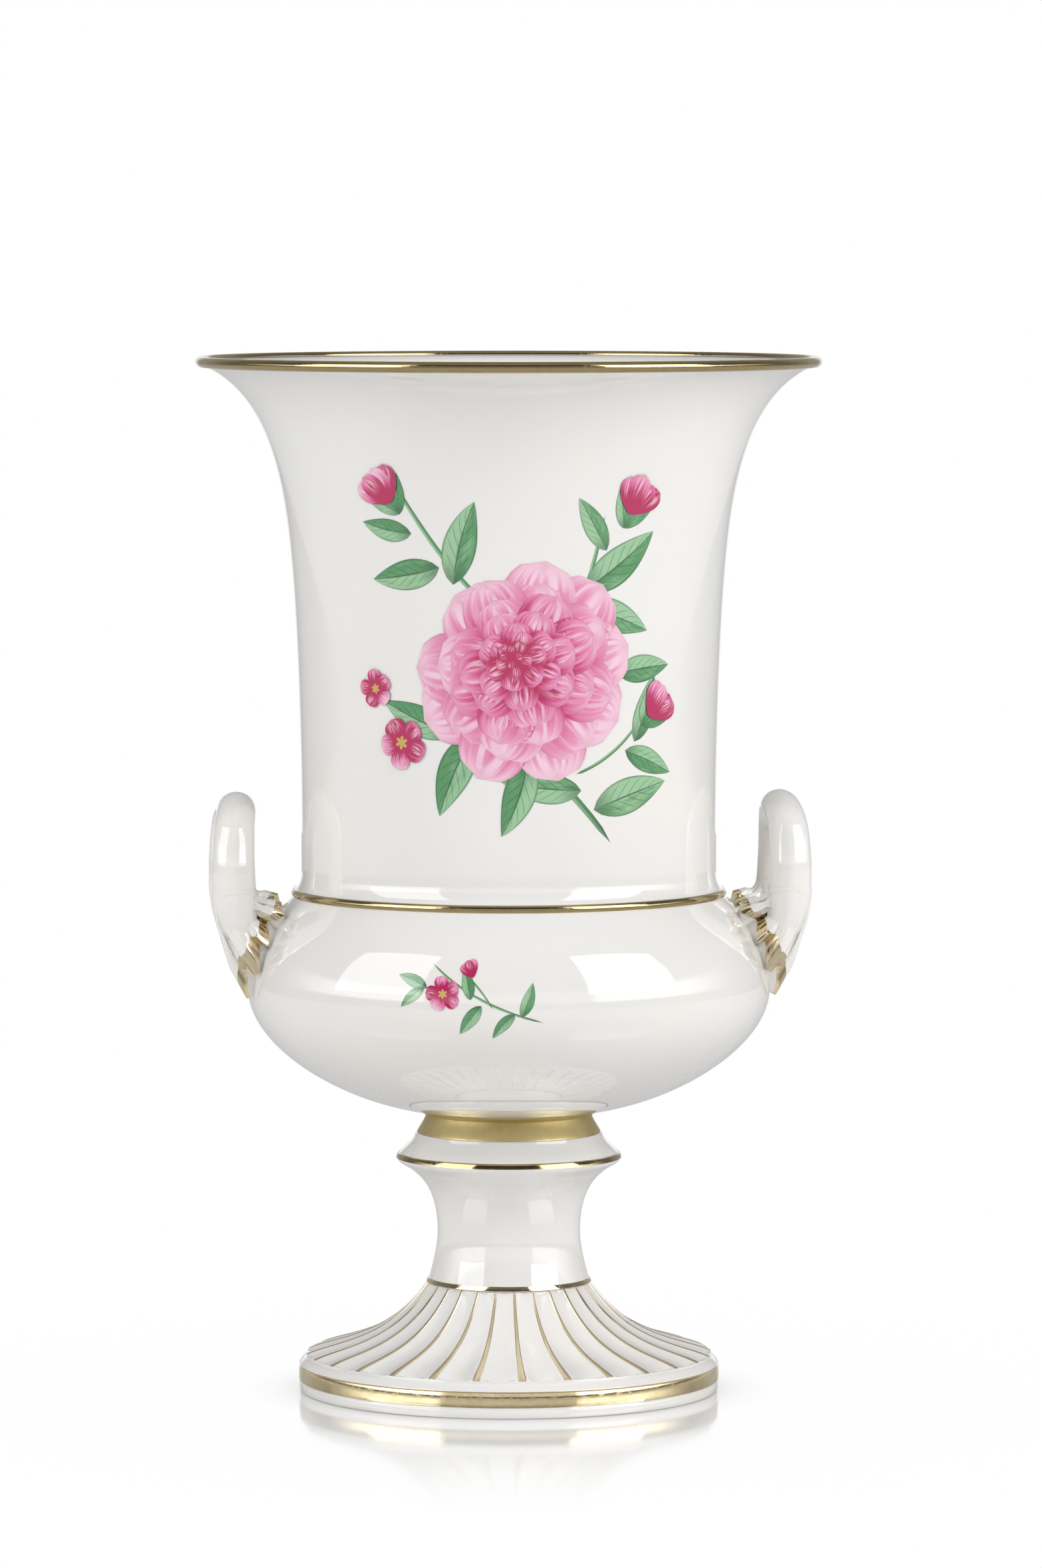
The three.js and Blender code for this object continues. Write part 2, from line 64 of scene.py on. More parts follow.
class Wire:  # a socket that Python arithmetic can work on
    def __init__(self, bench, socket):
        self.bench, self.socket = bench, socket

    def __add__(self, other):
        return self.bench.math("ADD", self, other)

    def __sub__(self, other):
        return self.bench.math("SUBTRACT", self, other)

    def __rsub__(self, other):
        return self.bench.math("SUBTRACT", other, self)

    def __mul__(self, other):
        return self.bench.math("MULTIPLY", self, other)

    def __truediv__(self, other):
        return self.bench.math("DIVIDE", self, other)

    def __rtruediv__(self, other):
        return self.bench.math("DIVIDE", other, self)

    def __pow__(self, other):
        return self.bench.math("POWER", self, other)

    __radd__ = __add__
    __rmul__ = __mul__


class Bench:  # a node tree while it is built
    def __init__(self, tree):
        self.tree = tree
        tree.nodes.clear()

    def node(self, kind, settings=None, sockets=None, output=0):
        made = self.tree.nodes.new(kind)
        for name, value in (settings or {}).items():
            setattr(made, name, value)
        for name, value in (sockets or {}).items():
            if isinstance(value, Wire):
                self.tree.links.new(value.socket, made.inputs[name])
            else:
                made.inputs[name].default_value = value
        return None if output is None else Wire(self, made.outputs[output])

    def math(self, operation, *values):
        return self.node("ShaderNodeMath", {"operation": operation}, dict(enumerate(values)))

    def mix(self, share, first, second):
        return self.node("ShaderNodeMix", {"data_type": "RGBA"}, {0: share, 6: first, 7: second}, 2)

    def rise(self, value, low, high):  # 0 below low, 1 above high, smooth between
        return self.node("ShaderNodeMapRange", {"interpolation_type": "SMOOTHSTEP"},
                         {"Value": value, "From Min": low, "From Max": high})

    def vector(self, x, y, z):
        return self.node("ShaderNodeCombineXYZ", None, {0: x, 1: y, 2: z})

    def split(self, vector):
        return [self.node("ShaderNodeSeparateXYZ", None, {0: vector}, i) for i in range(3)]

    def place(self):  # where a point is on its object
        return self.node("ShaderNodeTexCoord", output="Object")

    def attribute(self, name):
        return self.node("ShaderNodeAttribute", {"attribute_name": name}, output="Fac")

    def ray(self, name):
        return self.node("ShaderNodeLightPath", output=name)

    def noise(self, place, size, detail=2.0, roughness=0.5):
        return self.node("ShaderNodeTexNoise", None, {"Vector": place, "Scale": 1 / (size * mm),
                                                      "Detail": detail, "Roughness": roughness})

    def bump(self, height, distance, strength=0.5):
        return self.node("ShaderNodeBump", None,
                         {"Height": height, "Distance": distance, "Strength": strength})


def colour(red, green, blue):  # a screen colour, 0 to 255, as Blender's linear colour
    def line(value):
        value /= 255
        return value / 12.92 if value <= 0.04045 else ((value + 0.055) / 1.055) ** 2.4
    return (line(red), line(green), line(blue), 1)


def newMaterial(name):
    material = bpy.data.materials.new(name)
    material.use_nodes = True
    return material, Bench(material.node_tree)


def surface(bench, **sockets):
    names = {"baseColor": "Base Color", "coat": "Coat Weight", "coatRoughness": "Coat Roughness",
             "specular": "Specular IOR Level", "sheen": "Sheen Weight"}
    shader = bench.node("ShaderNodeBsdfPrincipled", None,
                        {names.get(key, key.capitalize()): value for key, value in sockets.items()})
    bench.node("ShaderNodeOutputMaterial", None, {"Surface": shader}, None)


print("materials")

# Sizes of noise are in millimetres, distances of bumps in metres

glaze = {
    "warm": colour(238, 235, 231), "cool": colour(234, 233, 231), "speck": colour(120, 110, 98),
    "cloud": 70, "speckSpacing": 34, "speckSize": 0.22, "waves": (26, 7), "waviness": 0.0002,
    "roughness": 0.05, "smear": 0.04, "smearSize": 12, "specular": 0.3, "coatRoughness": 0.03,
}


def porcelainGlaze():
    g = glaze
    material, bench = newMaterial("porcelainGlaze")
    place = bench.place()
    cell = bench.node("ShaderNodeTexVoronoi", None, {"Vector": place, "Scale": 1 / (g["speckSpacing"] * mm)})
    size = g["speckSize"] / g["speckSpacing"]
    speck = (1 - bench.rise(cell, size * 0.4, size)) * 0.5
    tint = bench.mix(bench.rise(bench.noise(place, g["cloud"]), 0.35, 0.65), g["cool"], g["warm"])
    wave = bench.noise(place, g["waves"][0], 1.5) + bench.noise(place, g["waves"][1], 1) * 0.12
    surface(bench, baseColor=bench.mix(speck, tint, g["speck"]), specular=g["specular"],
            roughness=g["roughness"] + bench.noise(place, g["smearSize"]) * g["smear"],
            coat=1.0, coatRoughness=g["coatRoughness"], normal=bench.bump(wave, g["waviness"]))
    return material


# olive and umber are darker tints for copies of this gold: painted shade
gold = {
    "bright": (0.90, 0.73, 0.38, 1), "deep": (0.78, 0.60, 0.27, 1), "shade": (0.20, 0.15, 0.08, 1),
    "pale": (0.78, 0.70, 0.55, 1), "oliveShade": (0.55, 0.47, 0.24, 1), "umberShade": (0.33, 0.26, 0.15, 1),
    "blotch": 6, "wornPatch": 2.2, "ripples": (3.5, 0.6), "rippleHeight": 0.00006,
    "roughness": 0.085, "worn": 0.16, "matt": 0.34,
    "leafDull": 0.07, "leafHighlightPale": 0.6, "leafShade": 0.85, "leafEdge": 1.6,
}


def goldLook(bench, place):  # its tint, roughness and normal
    patches = bench.rise(bench.noise(place, gold["blotch"], 4, 0.6), 0.3, 0.7)
    tint = bench.mix(patches, gold["deep"], gold["bright"])
    worn = bench.rise(bench.noise(place, gold["wornPatch"], 3, 0.65), 0.45, 0.75)
    broad, fine = gold["ripples"]
    wave = bench.noise(place, broad, 2) + bench.noise(place, fine, 1) * 0.12
    return tint, gold["roughness"] + worn * gold["worn"], bench.bump(wave, gold["rippleHeight"])


def burnishedGold(name, second, share, dullness=0.0):
    material, bench = newMaterial(name)
    tint, roughness, normal = goldLook(bench, bench.place())
    surface(bench, baseColor=bench.mix(share, tint, gold[second]), metallic=1.0,
            roughness=roughness + dullness, normal=normal)
    return material


def giltPorcelain():  # porcelain with gold where the mesh's gilding attribute says so
    material, bench = newMaterial("giltPorcelain")
    place = bench.place()
    edge = bench.noise(place, gold["leafEdge"], 2) * 0.5
    mask = bench.rise(bench.attribute("gilding") + edge, 0.68, 0.8)
    tint, roughness, normal = goldLook(bench, place)
    # washing the leaf gold towards pale stands in for its burnished highlights: painted highlight
    tint = bench.mix(gold["leafHighlightPale"], tint, gold["pale"])
    # the vein attribute darkens the leaf gold in its creases and vein grooves: painted shade
    tint = bench.mix(bench.attribute("vein") * gold["leafShade"], tint, gold["shade"])
    plain = glaze["roughness"]
    surface(bench, baseColor=bench.mix(mask, glaze["warm"], tint), metallic=mask,
            roughness=plain + (roughness + gold["leafDull"] - plain) * mask,
            coat=1 - mask, coatRoughness=glaze["coatRoughness"], normal=normal)
    return material


hidden = {
    "steel": (0.44, 0.45, 0.46, 1), "spangle": (0.62, 0.62, 0.60, 1), "steelGrain": 1.2, "spangleSize": 5,
    "felt": colour(104, 58, 44), "nap": colour(150, 92, 72), "fibre": 0.5,
}


def zincSteel():
    material, bench = newMaterial("zincSteel")
    place = bench.place()
    grain = bench.noise(place, hidden["steelGrain"], 4, 0.6)
    spangle = bench.rise(bench.noise(place, hidden["spangleSize"], 3), 0.4, 0.7)
    surface(bench, baseColor=bench.mix(spangle, hidden["steel"], hidden["spangle"]), metallic=1.0,
            roughness=0.28 + grain * 0.2, normal=bench.bump(grain, 0.00008))
    return material


def pressedFelt():
    material, bench = newMaterial("pressedFelt")
    fibre = bench.noise(bench.place(), hidden["fibre"], 5, 0.7)
    surface(bench, baseColor=bench.mix(fibre, hidden["felt"], hidden["nap"]), roughness=0.95, sheen=0.4,
            normal=bench.bump(fibre, 0.0004, 0.8))
    return material


porcelain = porcelainGlaze()
# One gold in four tints: paler on the ribs and band; darker on the lip, bead and collar line (umber) and on
# the ankle (olive), as painted shade
paleGilt = burnishedGold("paleGold", "pale", 0.6, 0.02)
bandGilt = burnishedGold("bandGold", "pale", 0.4)
shadedGilt = burnishedGold("shadedGold", "umberShade", 0.65)
softGilt = burnishedGold("softGold", "oliveShade", 0.6, gold["matt"])
giltLeaf = giltPorcelain()
steel = zincSteel()
felt = pressedFelt()

# Meshes


def curve(p0, p1, p2, p3, steps, skipFirst=False):
    t = np.linspace(0, 1, steps + 1)[1 if skipFirst else 0:, None]
    p0, p1, p2, p3 = (np.array(p, float) for p in (p0, p1, p2, p3))
    return (1 - t) ** 3 * p0 + 3 * (1 - t) ** 2 * t * p1 + 3 * (1 - t) * t ** 2 * p2 + t ** 3 * p3


def bow(start, handles, end, steps, skipFirst=False):  # a curve with each handle counted from its end
    start, end = np.array(start, float), np.array(end, float)
    return curve(start, start + handles[0], end + handles[1], end, steps, skipFirst)


def joined(*runs):
    return np.vstack([np.atleast_2d(np.array(run, float)) for run in runs])


def direction(points):  # unit vectors along a run of points
    along = np.gradient(points, axis=0)
    return along / np.linalg.norm(along, axis=1)[:, None]


def offset(profile, distance):  # to the left of the profile's direction of travel
    return profile + direction(profile)[:, ::-1] * (-distance, distance)


def newPiece(name, points, faces, material, sharp=35):  # points in millimetres
    mesh = bpy.data.meshes.new(name)
    mesh.from_pydata((np.asarray(points) * mm).tolist(), [], faces)
    mesh.validate()
    piece = bpy.data.objects.new(name, mesh)
    bpy.context.scene.collection.objects.link(piece)
    mesh.materials.append(material)
    smooth(mesh, sharp)
    return piece


def smooth(mesh, sharp):
    mesh.shade_smooth()
    mesh.set_sharp_from_angle(angle=math.radians(sharp))


def paint(piece, **attributes):
    for name, values in attributes.items():
        layer = piece.data.attributes.new(name, "FLOAT", "POINT")
        layer.data.foreach_set("value", np.asarray(values, np.float32))


def quads(index):  # the faces of a grid of point numbers
    corners = [index[:-1, :-1], index[1:, :-1], index[1:, 1:], index[:-1, 1:]]
    return np.stack(corners, -1).reshape(-1, 4).tolist()


def tube(rows, columns, closed=True):  # the faces between rows of points, where each row is a ring
    index = np.arange(rows * columns).reshape(rows, columns)
    index = np.hstack([index, index[:, :1]])
    return quads(np.vstack([index, index[:1]]) if closed else index)


def flipped(faces):
    return [face[::-1] for face in faces]


def spun(angle, radius, height):  # points round the axis, in one row for each angle
    angle = angle[:, None]
    return np.stack([radius * np.cos(angle), radius * np.sin(angle), height + 0 * angle], 2).reshape(-1, 3)


def turned(name, profile, material, steps=256):  # a closed profile about the axis
    r, z = np.asarray(profile, float).T
    faces = tube(steps, len(r))
    if np.sum(r * np.roll(z, -1) - np.roll(r, -1) * z) < 0:
        faces = flipped(faces)
    return newPiece(name, spun(np.arange(steps) / steps * 2 * math.pi, r, z), faces, material)


def seat(piece, slot, *nodes):
    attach(piece, "root")
    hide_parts(*nodes)


# Stem, collar and ankle

print("stem")

stem = {
    "footRadius": 29.5, "footHeight": 41, "waistRadius": 26.2, "waistHeight": 58.5,
    "neckingRadius": 34.4, "neckingHeight": 80.4, "collarRadius": 41.35,
    "lineBottom": foot("collar_line"), "lineTop": top("collar_line"), "lineDepth": 1.5, "lineRise": 0.35,
    "ankleBottom": foot("ankle_moulding"), "ankleTop": top("ankle_moulding"),
    "ankleBottomRadius": 33.6, "ankleTopRadius": 30.4, "core": 27.0, "bore": 20.35,
    "deckBottom": 92.9, "hole": 5.5, "bowlBottom": foot("bowl"), "gasketRadius": reach("joint_gasket"),
    "seam": 0.1, "bowlFoot": (34.1, foot("bowl") + 1.8),
    # the handles of the outline's curves
    "flare": ((-1.5, 5.6), (0, -5.3)), "swan": ((0, 6.5), (-7.1, -5.5)), "cove": ((2.6, 2.8), (-0.55, -2.4)),
    "cap": ((-2.35, 3.3), (0.8, -3.4)), "line": ((-0.07, 0.4), (0.3, -0.5)),
}


def makeStem():
    s = stem
    waist = (s["waistRadius"], s["waistHeight"])
    necking = (s["neckingRadius"], s["neckingHeight"])
    edge, lineBottom, lineTop = s["collarRadius"], s["lineBottom"], s["lineTop"] - 0.1
    low, high, ankle = s["ankleBottom"], s["ankleTop"], s["ankleBottomRadius"]
    seatRadius = edge - s["lineDepth"] - 0.1
    outer = joined(
        bow((s["footRadius"] - 0.1, s["footHeight"]), s["flare"], waist, 24),
        bow(waist, s["swan"], necking, 24, True),
        bow(necking, s["cove"], (edge - 0.05, lineBottom), 18, True),
        [(seatRadius, lineBottom), (seatRadius, lineTop)],
        bow((edge - 0.75, lineTop), s["cap"], (ankle + 0.6, low - 0.2), 20), [(ankle + 0.3, low)])
    deck = [(s["core"], low), (s["core"], high), (s["hole"], high), (s["hole"], s["deckBottom"]),
            (s["bore"] - 1, s["deckBottom"]), (s["bore"], s["deckBottom"] - 3),
            (s["bore"], s["waistHeight"]), (s["bore"] + 2.3, s["footHeight"])]
    seat(turned("stemShell", joined(outer, deck), porcelain), "porcelain", "stem")
    inner, lineTop = edge - s["lineDepth"], s["lineTop"] + s["lineRise"]
    line = joined([(inner, lineBottom - 0.1)],
                  bow((edge + 0.05, lineBottom - 0.1), s["line"], (edge - 0.5, lineTop), 12),
                  [(inner, lineTop + 0.3)])
    seat(turned("collarLine", line, shadedGilt), "gilt", "collar_line")
    lip, core, bed = s["bowlBottom"] - s["seam"], s["core"] + 0.3, s["gasketRadius"] + 0.1
    flareRadius, flareTop = s["bowlFoot"]
    moulding = joined([(core, low + 0.05), (ankle + 0.15, low + 0.05)],
                      curve((ankle + 0.1, low + 0.25), (ankle - 1.0, low + 2.4),
                            (s["ankleTopRadius"] + 0.8, high - 1.8), (s["ankleTopRadius"], lip), 12),
                      [(flareRadius - 0.3, flareTop - 0.3), (flareRadius - 0.6, flareTop),
                       (bed, lip), (bed, high - 0.1), (core, high - 0.1)])
    seat(turned("ankleMoulding", moulding, softGilt), "gilt", "ankle_moulding")


makeStem()

# Foot with its flutes, the gilt ribs and the plinth

print("foot")

footDial = {
    "flutes": 28, "columnsPerFlute": 18, "rows": 56,
    "crest": [(29.5, 41), (44.3, 18.4), (64.5, 18.6), (74.7, 13.9)],
    "landDrop": 0.55, "fluteDepth": 0.066, "landTop": 1.0, "landEnd": 3.2, "scallop": 1.3, "fade": 1.3,
    "runIn": 1.5, "endStep": 0.8,
    "plinthRadius": 77.2, "bandBottom": foot("plinth_band"), "bandTop": top("plinth_band"), "bandRise": 0.45,
    "bandDepth": 1.0, "bandBack": 0.65, "round": 0.35, "ring": 6.5, "wall": 6.5, "bore": 22.65, "seat": 29.3,
    "hollowHeight": 5.5, "hollowRadius": 66,
    "ribWidthTop": 0.8, "ribWidthEnd": 3.3, "ribRise": 0.18, "ribRoot": 1.1, "ribSink": (0.35, 0.9),
}


def makeFoot():
    d = footDial
    crest = curve(*d["crest"], d["rows"])
    land = offset(crest, -d["landDrop"])
    edge, low, high, corner = d["plinthRadius"], d["bandBottom"], d["bandTop"] + d["bandRise"], d["round"]
    shelf = land[-1] + (0.1, -d["endStep"])
    rim = curve(shelf, shelf + (0.9, -0.5), (edge - 0.5, high + 1.0), (edge - 0.1, high + 0.3), 16)
    groove = edge - d["bandDepth"]
    plinth = [(edge - 0.4, high), (groove, high), (groove, low), (edge - corner, low),
              (edge - 0.1, low - 0.3), (edge - 0.1, 0.9), (edge - corner, 0.3), (edge - 0.9, 0),
              (edge - d["ring"], 0), (edge - d["ring"] - 0.6, d["hollowHeight"])]
    inner = offset(crest, -d["wall"] - 0.5)
    inner = inner[(inner[:, 1] < d["crest"][0][1] - 6) & (inner[:, 0] < d["hollowRadius"])][::-4]
    profile = joined(land, rim, plinth, inner, [(d["bore"], 37), (d["bore"], 41), (d["seat"], 41)])
    count = d["flutes"] * d["columnsPerFlute"]
    angle = np.arange(count) / count * 2 * math.pi - math.pi / 2
    across = (np.arange(count) / d["columnsPerFlute"]) % 1 * 2 - 1  # -1 and 1 on the lands, 0 mid flute
    inward = direction(land)[:, ::-1] * (1, -1)
    share = np.linspace(0, 1, len(land))
    width = 2 * math.pi * land[:, 0] / d["flutes"]
    landWidth = d["landTop"] + (d["landEnd"] - d["landTop"]) * share
    beside = np.abs(across)[:, None] * width / 2
    inside = np.clip(1 - (beside / ((width - landWidth) / 2)) ** 2, 0, 1)
    fromRing = np.cumsum(np.r_[0, np.linalg.norm(np.diff(land, axis=0), axis=1)])
    toEnd = fromRing[-1] - fromRing - d["scallop"] * (1 - np.sqrt(inside))
    fade = np.clip(toEnd / d["fade"], 0, 1) ** 0.6 * np.clip(fromRing / d["runIn"], 0, 1) ** 0.5
    sink = inside * fade * width * d["fluteDepth"]
    radius, height = (np.tile(values, (count, 1)) for values in profile.T)
    radius[:, :len(land)] += sink * inward[:, 0]
    height[:, :len(land)] += sink * inward[:, 1]
    faces = flipped(tube(count, len(profile)))
    seat(newPiece("footShell", spun(angle, radius, height), faces, porcelain, 50), "porcelain", "foot")
    bandSeat = edge - d["bandBack"]
    bulge = curve((edge + 0.05, low), (edge + 0.2, low + 1.6),
                  (edge + 0.15, high - 1.8), (edge - 0.15, high - 0.3), 14)
    band = joined([(bandSeat, low)], bulge, [(bandSeat, high)])
    seat(turned("plinthBand", band, bandGilt), "gilt", "plinth_band")


def ribTree():  # one rib bent along the foot's crest, repeated round the axis, joined with the ring
    tree = bpy.data.node_groups.new("gildedRibs", "GeometryNodeTree")
    bench = Bench(tree)
    kinds = {"Ring": "Geometry", "Ribs": "Int", "Width at Ring": "Float", "Width at End": "Float",
             "Rise": "Float", "Root": "Float", "Start": "Vector", "Start Handle": "Vector",
             "End Handle": "Vector", "End": "Vector", "Gold": "Material"}
    for name, kind in kinds.items():
        tree.interface.new_socket(name, in_out="INPUT", socket_type="NodeSocket" + kind)
    tree.interface.new_socket("Gilding", in_out="OUTPUT", socket_type="NodeSocketGeometry")
    entry = tree.nodes.new("NodeGroupInput")
    given = {name: Wire(bench, entry.outputs[name]) for name in kinds}
    bar = bench.node("GeometryNodeMeshCube", None,
                     {"Size": (1, 1, 1), "Vertices X": 40, "Vertices Y": 7, "Vertices Z": 3})
    x, y, z = bench.split(bench.node("GeometryNodeInputPosition"))
    t, side, level = x + 0.5, y * 2, z + 0.5
    s = 1 - t
    knots = [bench.split(given[name]) for name in ("Start", "Start Handle", "End Handle", "End")]

    def spot(axis):
        a, b, c, d = (knot[axis] for knot in knots)
        return s * s * s * a + s * s * t * b * 3 + s * t * t * c * 3 + t * t * t * d

    def speed(axis):
        a, b, c, d = (knot[axis] for knot in knots)
        return s * s * (b - a) + s * t * (c - b) * 2 + t * t * (d - c)

    dr, dz = speed(0), speed(2)
    run = bench.math("SQRT", dr * dr + dz * dz)
    dome = 1 - bench.math("ABSOLUTE", side) ** 4 * 0.25
    lift = level * (given["Rise"] + given["Root"]) * (1 - level * (1 - dome)) - given["Root"]
    half = (given["Width at Ring"] + (given["Width at End"] - given["Width at Ring"]) * t) / 2
    bent = bench.vector(spot(0) - dz / run * lift, side * half, spot(2) + dr / run * lift)
    rib = bench.node("GeometryNodeSetPosition", None, {"Geometry": bar, "Position": bent})
    posts = bench.node("GeometryNodePoints", None, {"Count": given["Ribs"]})
    turn = bench.node("GeometryNodeInputIndex") / given["Ribs"] * (2 * math.pi) - math.pi / 2
    circle = bench.node("GeometryNodeInstanceOnPoints", None,
                        {"Points": posts, "Instance": rib, "Rotation": bench.vector(0, 0, turn)})
    real = bench.node("GeometryNodeRealizeInstances", None, {0: circle})
    both = tree.nodes.new("GeometryNodeJoinGeometry")
    tree.links.new(real.socket, both.inputs[0])
    tree.links.new(given["Ring"].socket, both.inputs[0])
    final = bench.node("GeometryNodeSetMaterial", None,
                       {"Geometry": Wire(bench, both.outputs[0]), "Material": given["Gold"]})
    tree.links.new(final.socket, tree.nodes.new("NodeGroupOutput").inputs[0])
    return tree


def bake(piece, tree, values):  # runs a Geometry Nodes tree on a piece and keeps the result as its mesh
    modifier = piece.modifiers.new("nodes", "NODES")
    modifier.node_group = tree
    for item in tree.interface.items_tree:
        if item.in_out == "INPUT" and item.name in values:
            modifier[item.identifier] = values[item.name]
    bpy.context.view_layer.update()
    evaluated = piece.evaluated_get(bpy.context.evaluated_depsgraph_get())
    mesh = bpy.data.meshes.new_from_object(evaluated)
    piece.modifiers.remove(modifier)
    piece.data = mesh


def makeRibs():
    d = footDial
    r, z = d["crest"][0]
    bead = curve((r + 0.85, z - 1), (r + 0.7, z - 0.55), (r + 0.45, z - 0.1), (r + 0.15, z + 0.45), 10)
    ring = joined([(r - 1, z - 1)], bead, [(r - 1, z + 0.6)])
    piece = turned("ribGilding", ring, paleGilt)
    inward, down = d["ribSink"]
    sink = Vector((-d["landDrop"] * mm * inward, 0, -d["landDrop"] * mm * down))
    knots = [Vector((x * mm, 0, y * mm)) + sink for x, y in d["crest"]]
    values = dict(zip(("Start", "Start Handle", "End Handle", "End"), knots))
    values.update({"Ribs": d["flutes"], "Gold": paleGilt})
    for name, key in (("Width at Ring", "ribWidthTop"), ("Width at End", "ribWidthEnd"),
                      ("Rise", "ribRise"), ("Root", "ribRoot")):
        values[name] = d[key] * mm
    bake(piece, ribTree(), values)
    smooth(piece.data, 50)
    seat(piece, "gilt", "rib_gilding")


makeFoot()
makeRibs()

# Bowl

print("bowl")

bowl = {
    "bottom": foot("bowl"), "padRadius": 30.4, "bellyRadius": 95.8, "bellyHeight": 148.5,
    "seat": top("bowl"), "shoulderRadius": 79.8, "wall": 5.5, "neckBore": 71.5, "hole": 5.5,
    # the handles of the outline's curves
    "lower": ((29.128, 4.0), (0, -20.6)), "upper": ((0, 17.5), (5.4, -6.5)),
}


def bowlOuter(steps):
    b = bowl
    belly = (b["bellyRadius"], b["bellyHeight"])
    shoulder = (b["shoulderRadius"], b["seat"] - 0.3)
    return joined(bow(stem["bowlFoot"], b["lower"], belly, steps),
                  bow(belly, b["upper"], shoulder, steps, True))


def makeBowl():
    b = bowl
    outer = bowlOuter(44)
    inner = offset(outer, b["wall"])[::-2]
    low, high, bore, hole = b["bottom"], b["seat"], b["neckBore"], b["hole"]
    profile = joined([(b["padRadius"], low)], outer,
                     [(b["shoulderRadius"] - 0.4, high), (bore, high), (bore, high - 3)],
                     inner, [(hole, inner[-1][1]), (hole, low)])
    seat(turned("bowlShell", profile, porcelain), "porcelain", "bowl")


makeBowl()

# Neck, bead and lip

print("neck")

neck = {
    "seat": foot("neck"), "beadTop": top("shoulder_bead"), "footRadius": 79.3, "radius": 76.0, "waist": 193.0,
    "midRadius": 80.2, "midHeight": 310.0, "wall": 4.5, "bore": 71.5, "beadRadius": reach("shoulder_bead"),
    "beadDepth": 1.7, "beadRound": 1.2, "beadSwell": 0.5, "beadRise": 0.35,
    "lipRadius": reach("lip_roll"), "lipSeat": top("neck"), "height": top("lip_roll"),
    "lipInner": 106.4, "lipWidth": 3.4,
    # the handles of the outline's curves
    "calyx": ((0, 31.6), (-3.3, -32.6)), "flare": ((2, 20), (-24.9, -9.2)),
}


def neckOuter(steps):
    n = neck
    waist, middle = (n["radius"], n["waist"]), (n["midRadius"], n["midHeight"])
    return joined(curve((n["footRadius"], n["beadTop"]), (n["radius"] + 1.4, n["beadTop"] + 0.8),
                        (n["radius"], n["beadTop"] + 3), waist, steps // 3),
                  bow(waist, n["calyx"], middle, steps, True),
                  bow(middle, n["flare"], (n["lipRadius"] - 2.6, n["lipSeat"]), steps, True))


def makeNeck():
    n = neck
    low, high, lipSeat, peak = n["seat"], n["beadTop"], n["lipSeat"], n["height"]
    outer = neckOuter(40)
    inner = offset(outer, n["wall"])
    inner = inner[(inner[:, 1] > n["waist"] + 1) & (inner[:, 0] < n["lipInner"] - 3)][::-1]
    giltEdge = n["lipRadius"] - n["lipWidth"]
    innerLip = curve((giltEdge + 0.3, peak - 1.3), (giltEdge - 2.0, peak - 1.7),
                     inner[0] + (2.2, 1.7), inner[0], 12)[:-1]
    beadSeat = n["beadRadius"] - n["beadDepth"]
    profile = joined([(beadSeat, low), (beadSeat, high)], outer, innerLip, inner,
                     [(n["bore"], n["waist"]), (n["bore"], low)])
    seat(turned("neckShell", profile, porcelain), "porcelain", "neck")
    arc = np.linspace(-math.pi / 2, math.pi / 2, 13)
    swell = (high - low) / 2 + n["beadSwell"]
    bulge = n["beadRadius"] + n["beadRise"] - n["beadRound"] + n["beadRound"] * np.cos(arc)
    bead = joined([(beadSeat, low + 0.05)], np.stack([bulge, (low + high) / 2 + swell * np.sin(arc)], 1),
                  [(beadSeat, high - 0.05)])
    seat(turned("shoulderBead", bead, shadedGilt), "gilt", "shoulder_bead")
    roll = (peak - lipSeat) / 2
    arch = np.stack([n["lipRadius"] - roll + roll * np.cos(arc), lipSeat + roll + roll * np.sin(arc)], 1)
    lip = joined([(giltEdge, lipSeat + 0.8), (n["lipRadius"] - roll - 1.0, lipSeat + 0.05)],
                 arch, curve(arch[-1], arch[-1] + (-0.7, 0), (giltEdge + 0.3, peak - 0.4),
                             (giltEdge, peak - 1.1), 8, True))
    seat(turned("lipRoll", lip, shadedGilt), "gilt", "lip_roll")


makeNeck()

# Handles and their acanthus leaves

print("handles")

handle = {
    "spacing": 43.0, "top": top("handle_right") + 0.7, "depth": 14.6, "width": 13.0,
    "stations": 20, "sides": 48, "ridge": 0.10, "ridges": 8, "ridgeFade": 30,
    "swell": 0.16, "swellAcross": 0.6, "swellStart": 12, "swellLength": 40,
    "footStart": 183, "footLength": 22, "footTaper": 0.5,
    # the leg's middle: distance from the axis, share of half the spacing, height
    "leg": [(87.5, 0.80, 158), (95.5, 0.90, 168), (99.9, 0.97, 176), (101.3, 1.0, 186), (101.6, 1.0, 198),
            (101.0, 0.78, 209.5)],
    "crown": 99.9,
}


def smoothPath(knots, steps):  # a Catmull-Rom path through its knots
    knots = np.array(knots, float)
    padded = np.vstack([2 * knots[0] - knots[1], knots, 2 * knots[-1] - knots[-2]])
    t = (np.arange(steps) / steps)[:, None]
    runs = []
    for k in range(len(knots) - 1):
        a, b, c, d = padded[k:k + 4]
        bend, twist = 2 * a - 5 * b + 4 * c - d, 3 * b - a - 3 * c + d
        runs.append(0.5 * (2 * b + (c - a) * t + bend * t ** 2 + twist * t ** 3))
    return np.vstack(runs + [knots[-1:]])


def loopPath():
    h = handle
    left = [(x, -h["spacing"] / 2 * share, z) for x, share, z in h["leg"]]
    right = [(x, -y, z) for x, y, z in reversed(left)]
    return smoothPath(left + [(h["crown"], 0, h["top"] - h["width"] / 2)] + right, h["stations"])


def legHalves(height, share=1):  # half the leg's depth and width, which grow on its way down from the crown
    h = handle
    down = np.clip((h["top"] - h["swellStart"] - height) / h["swellLength"], 0, 1)
    swell = (1 + h["swell"] * down) * share
    return h["depth"] / 2 * swell, h["width"] / 2 * (1 + (swell - 1) * h["swellAcross"])


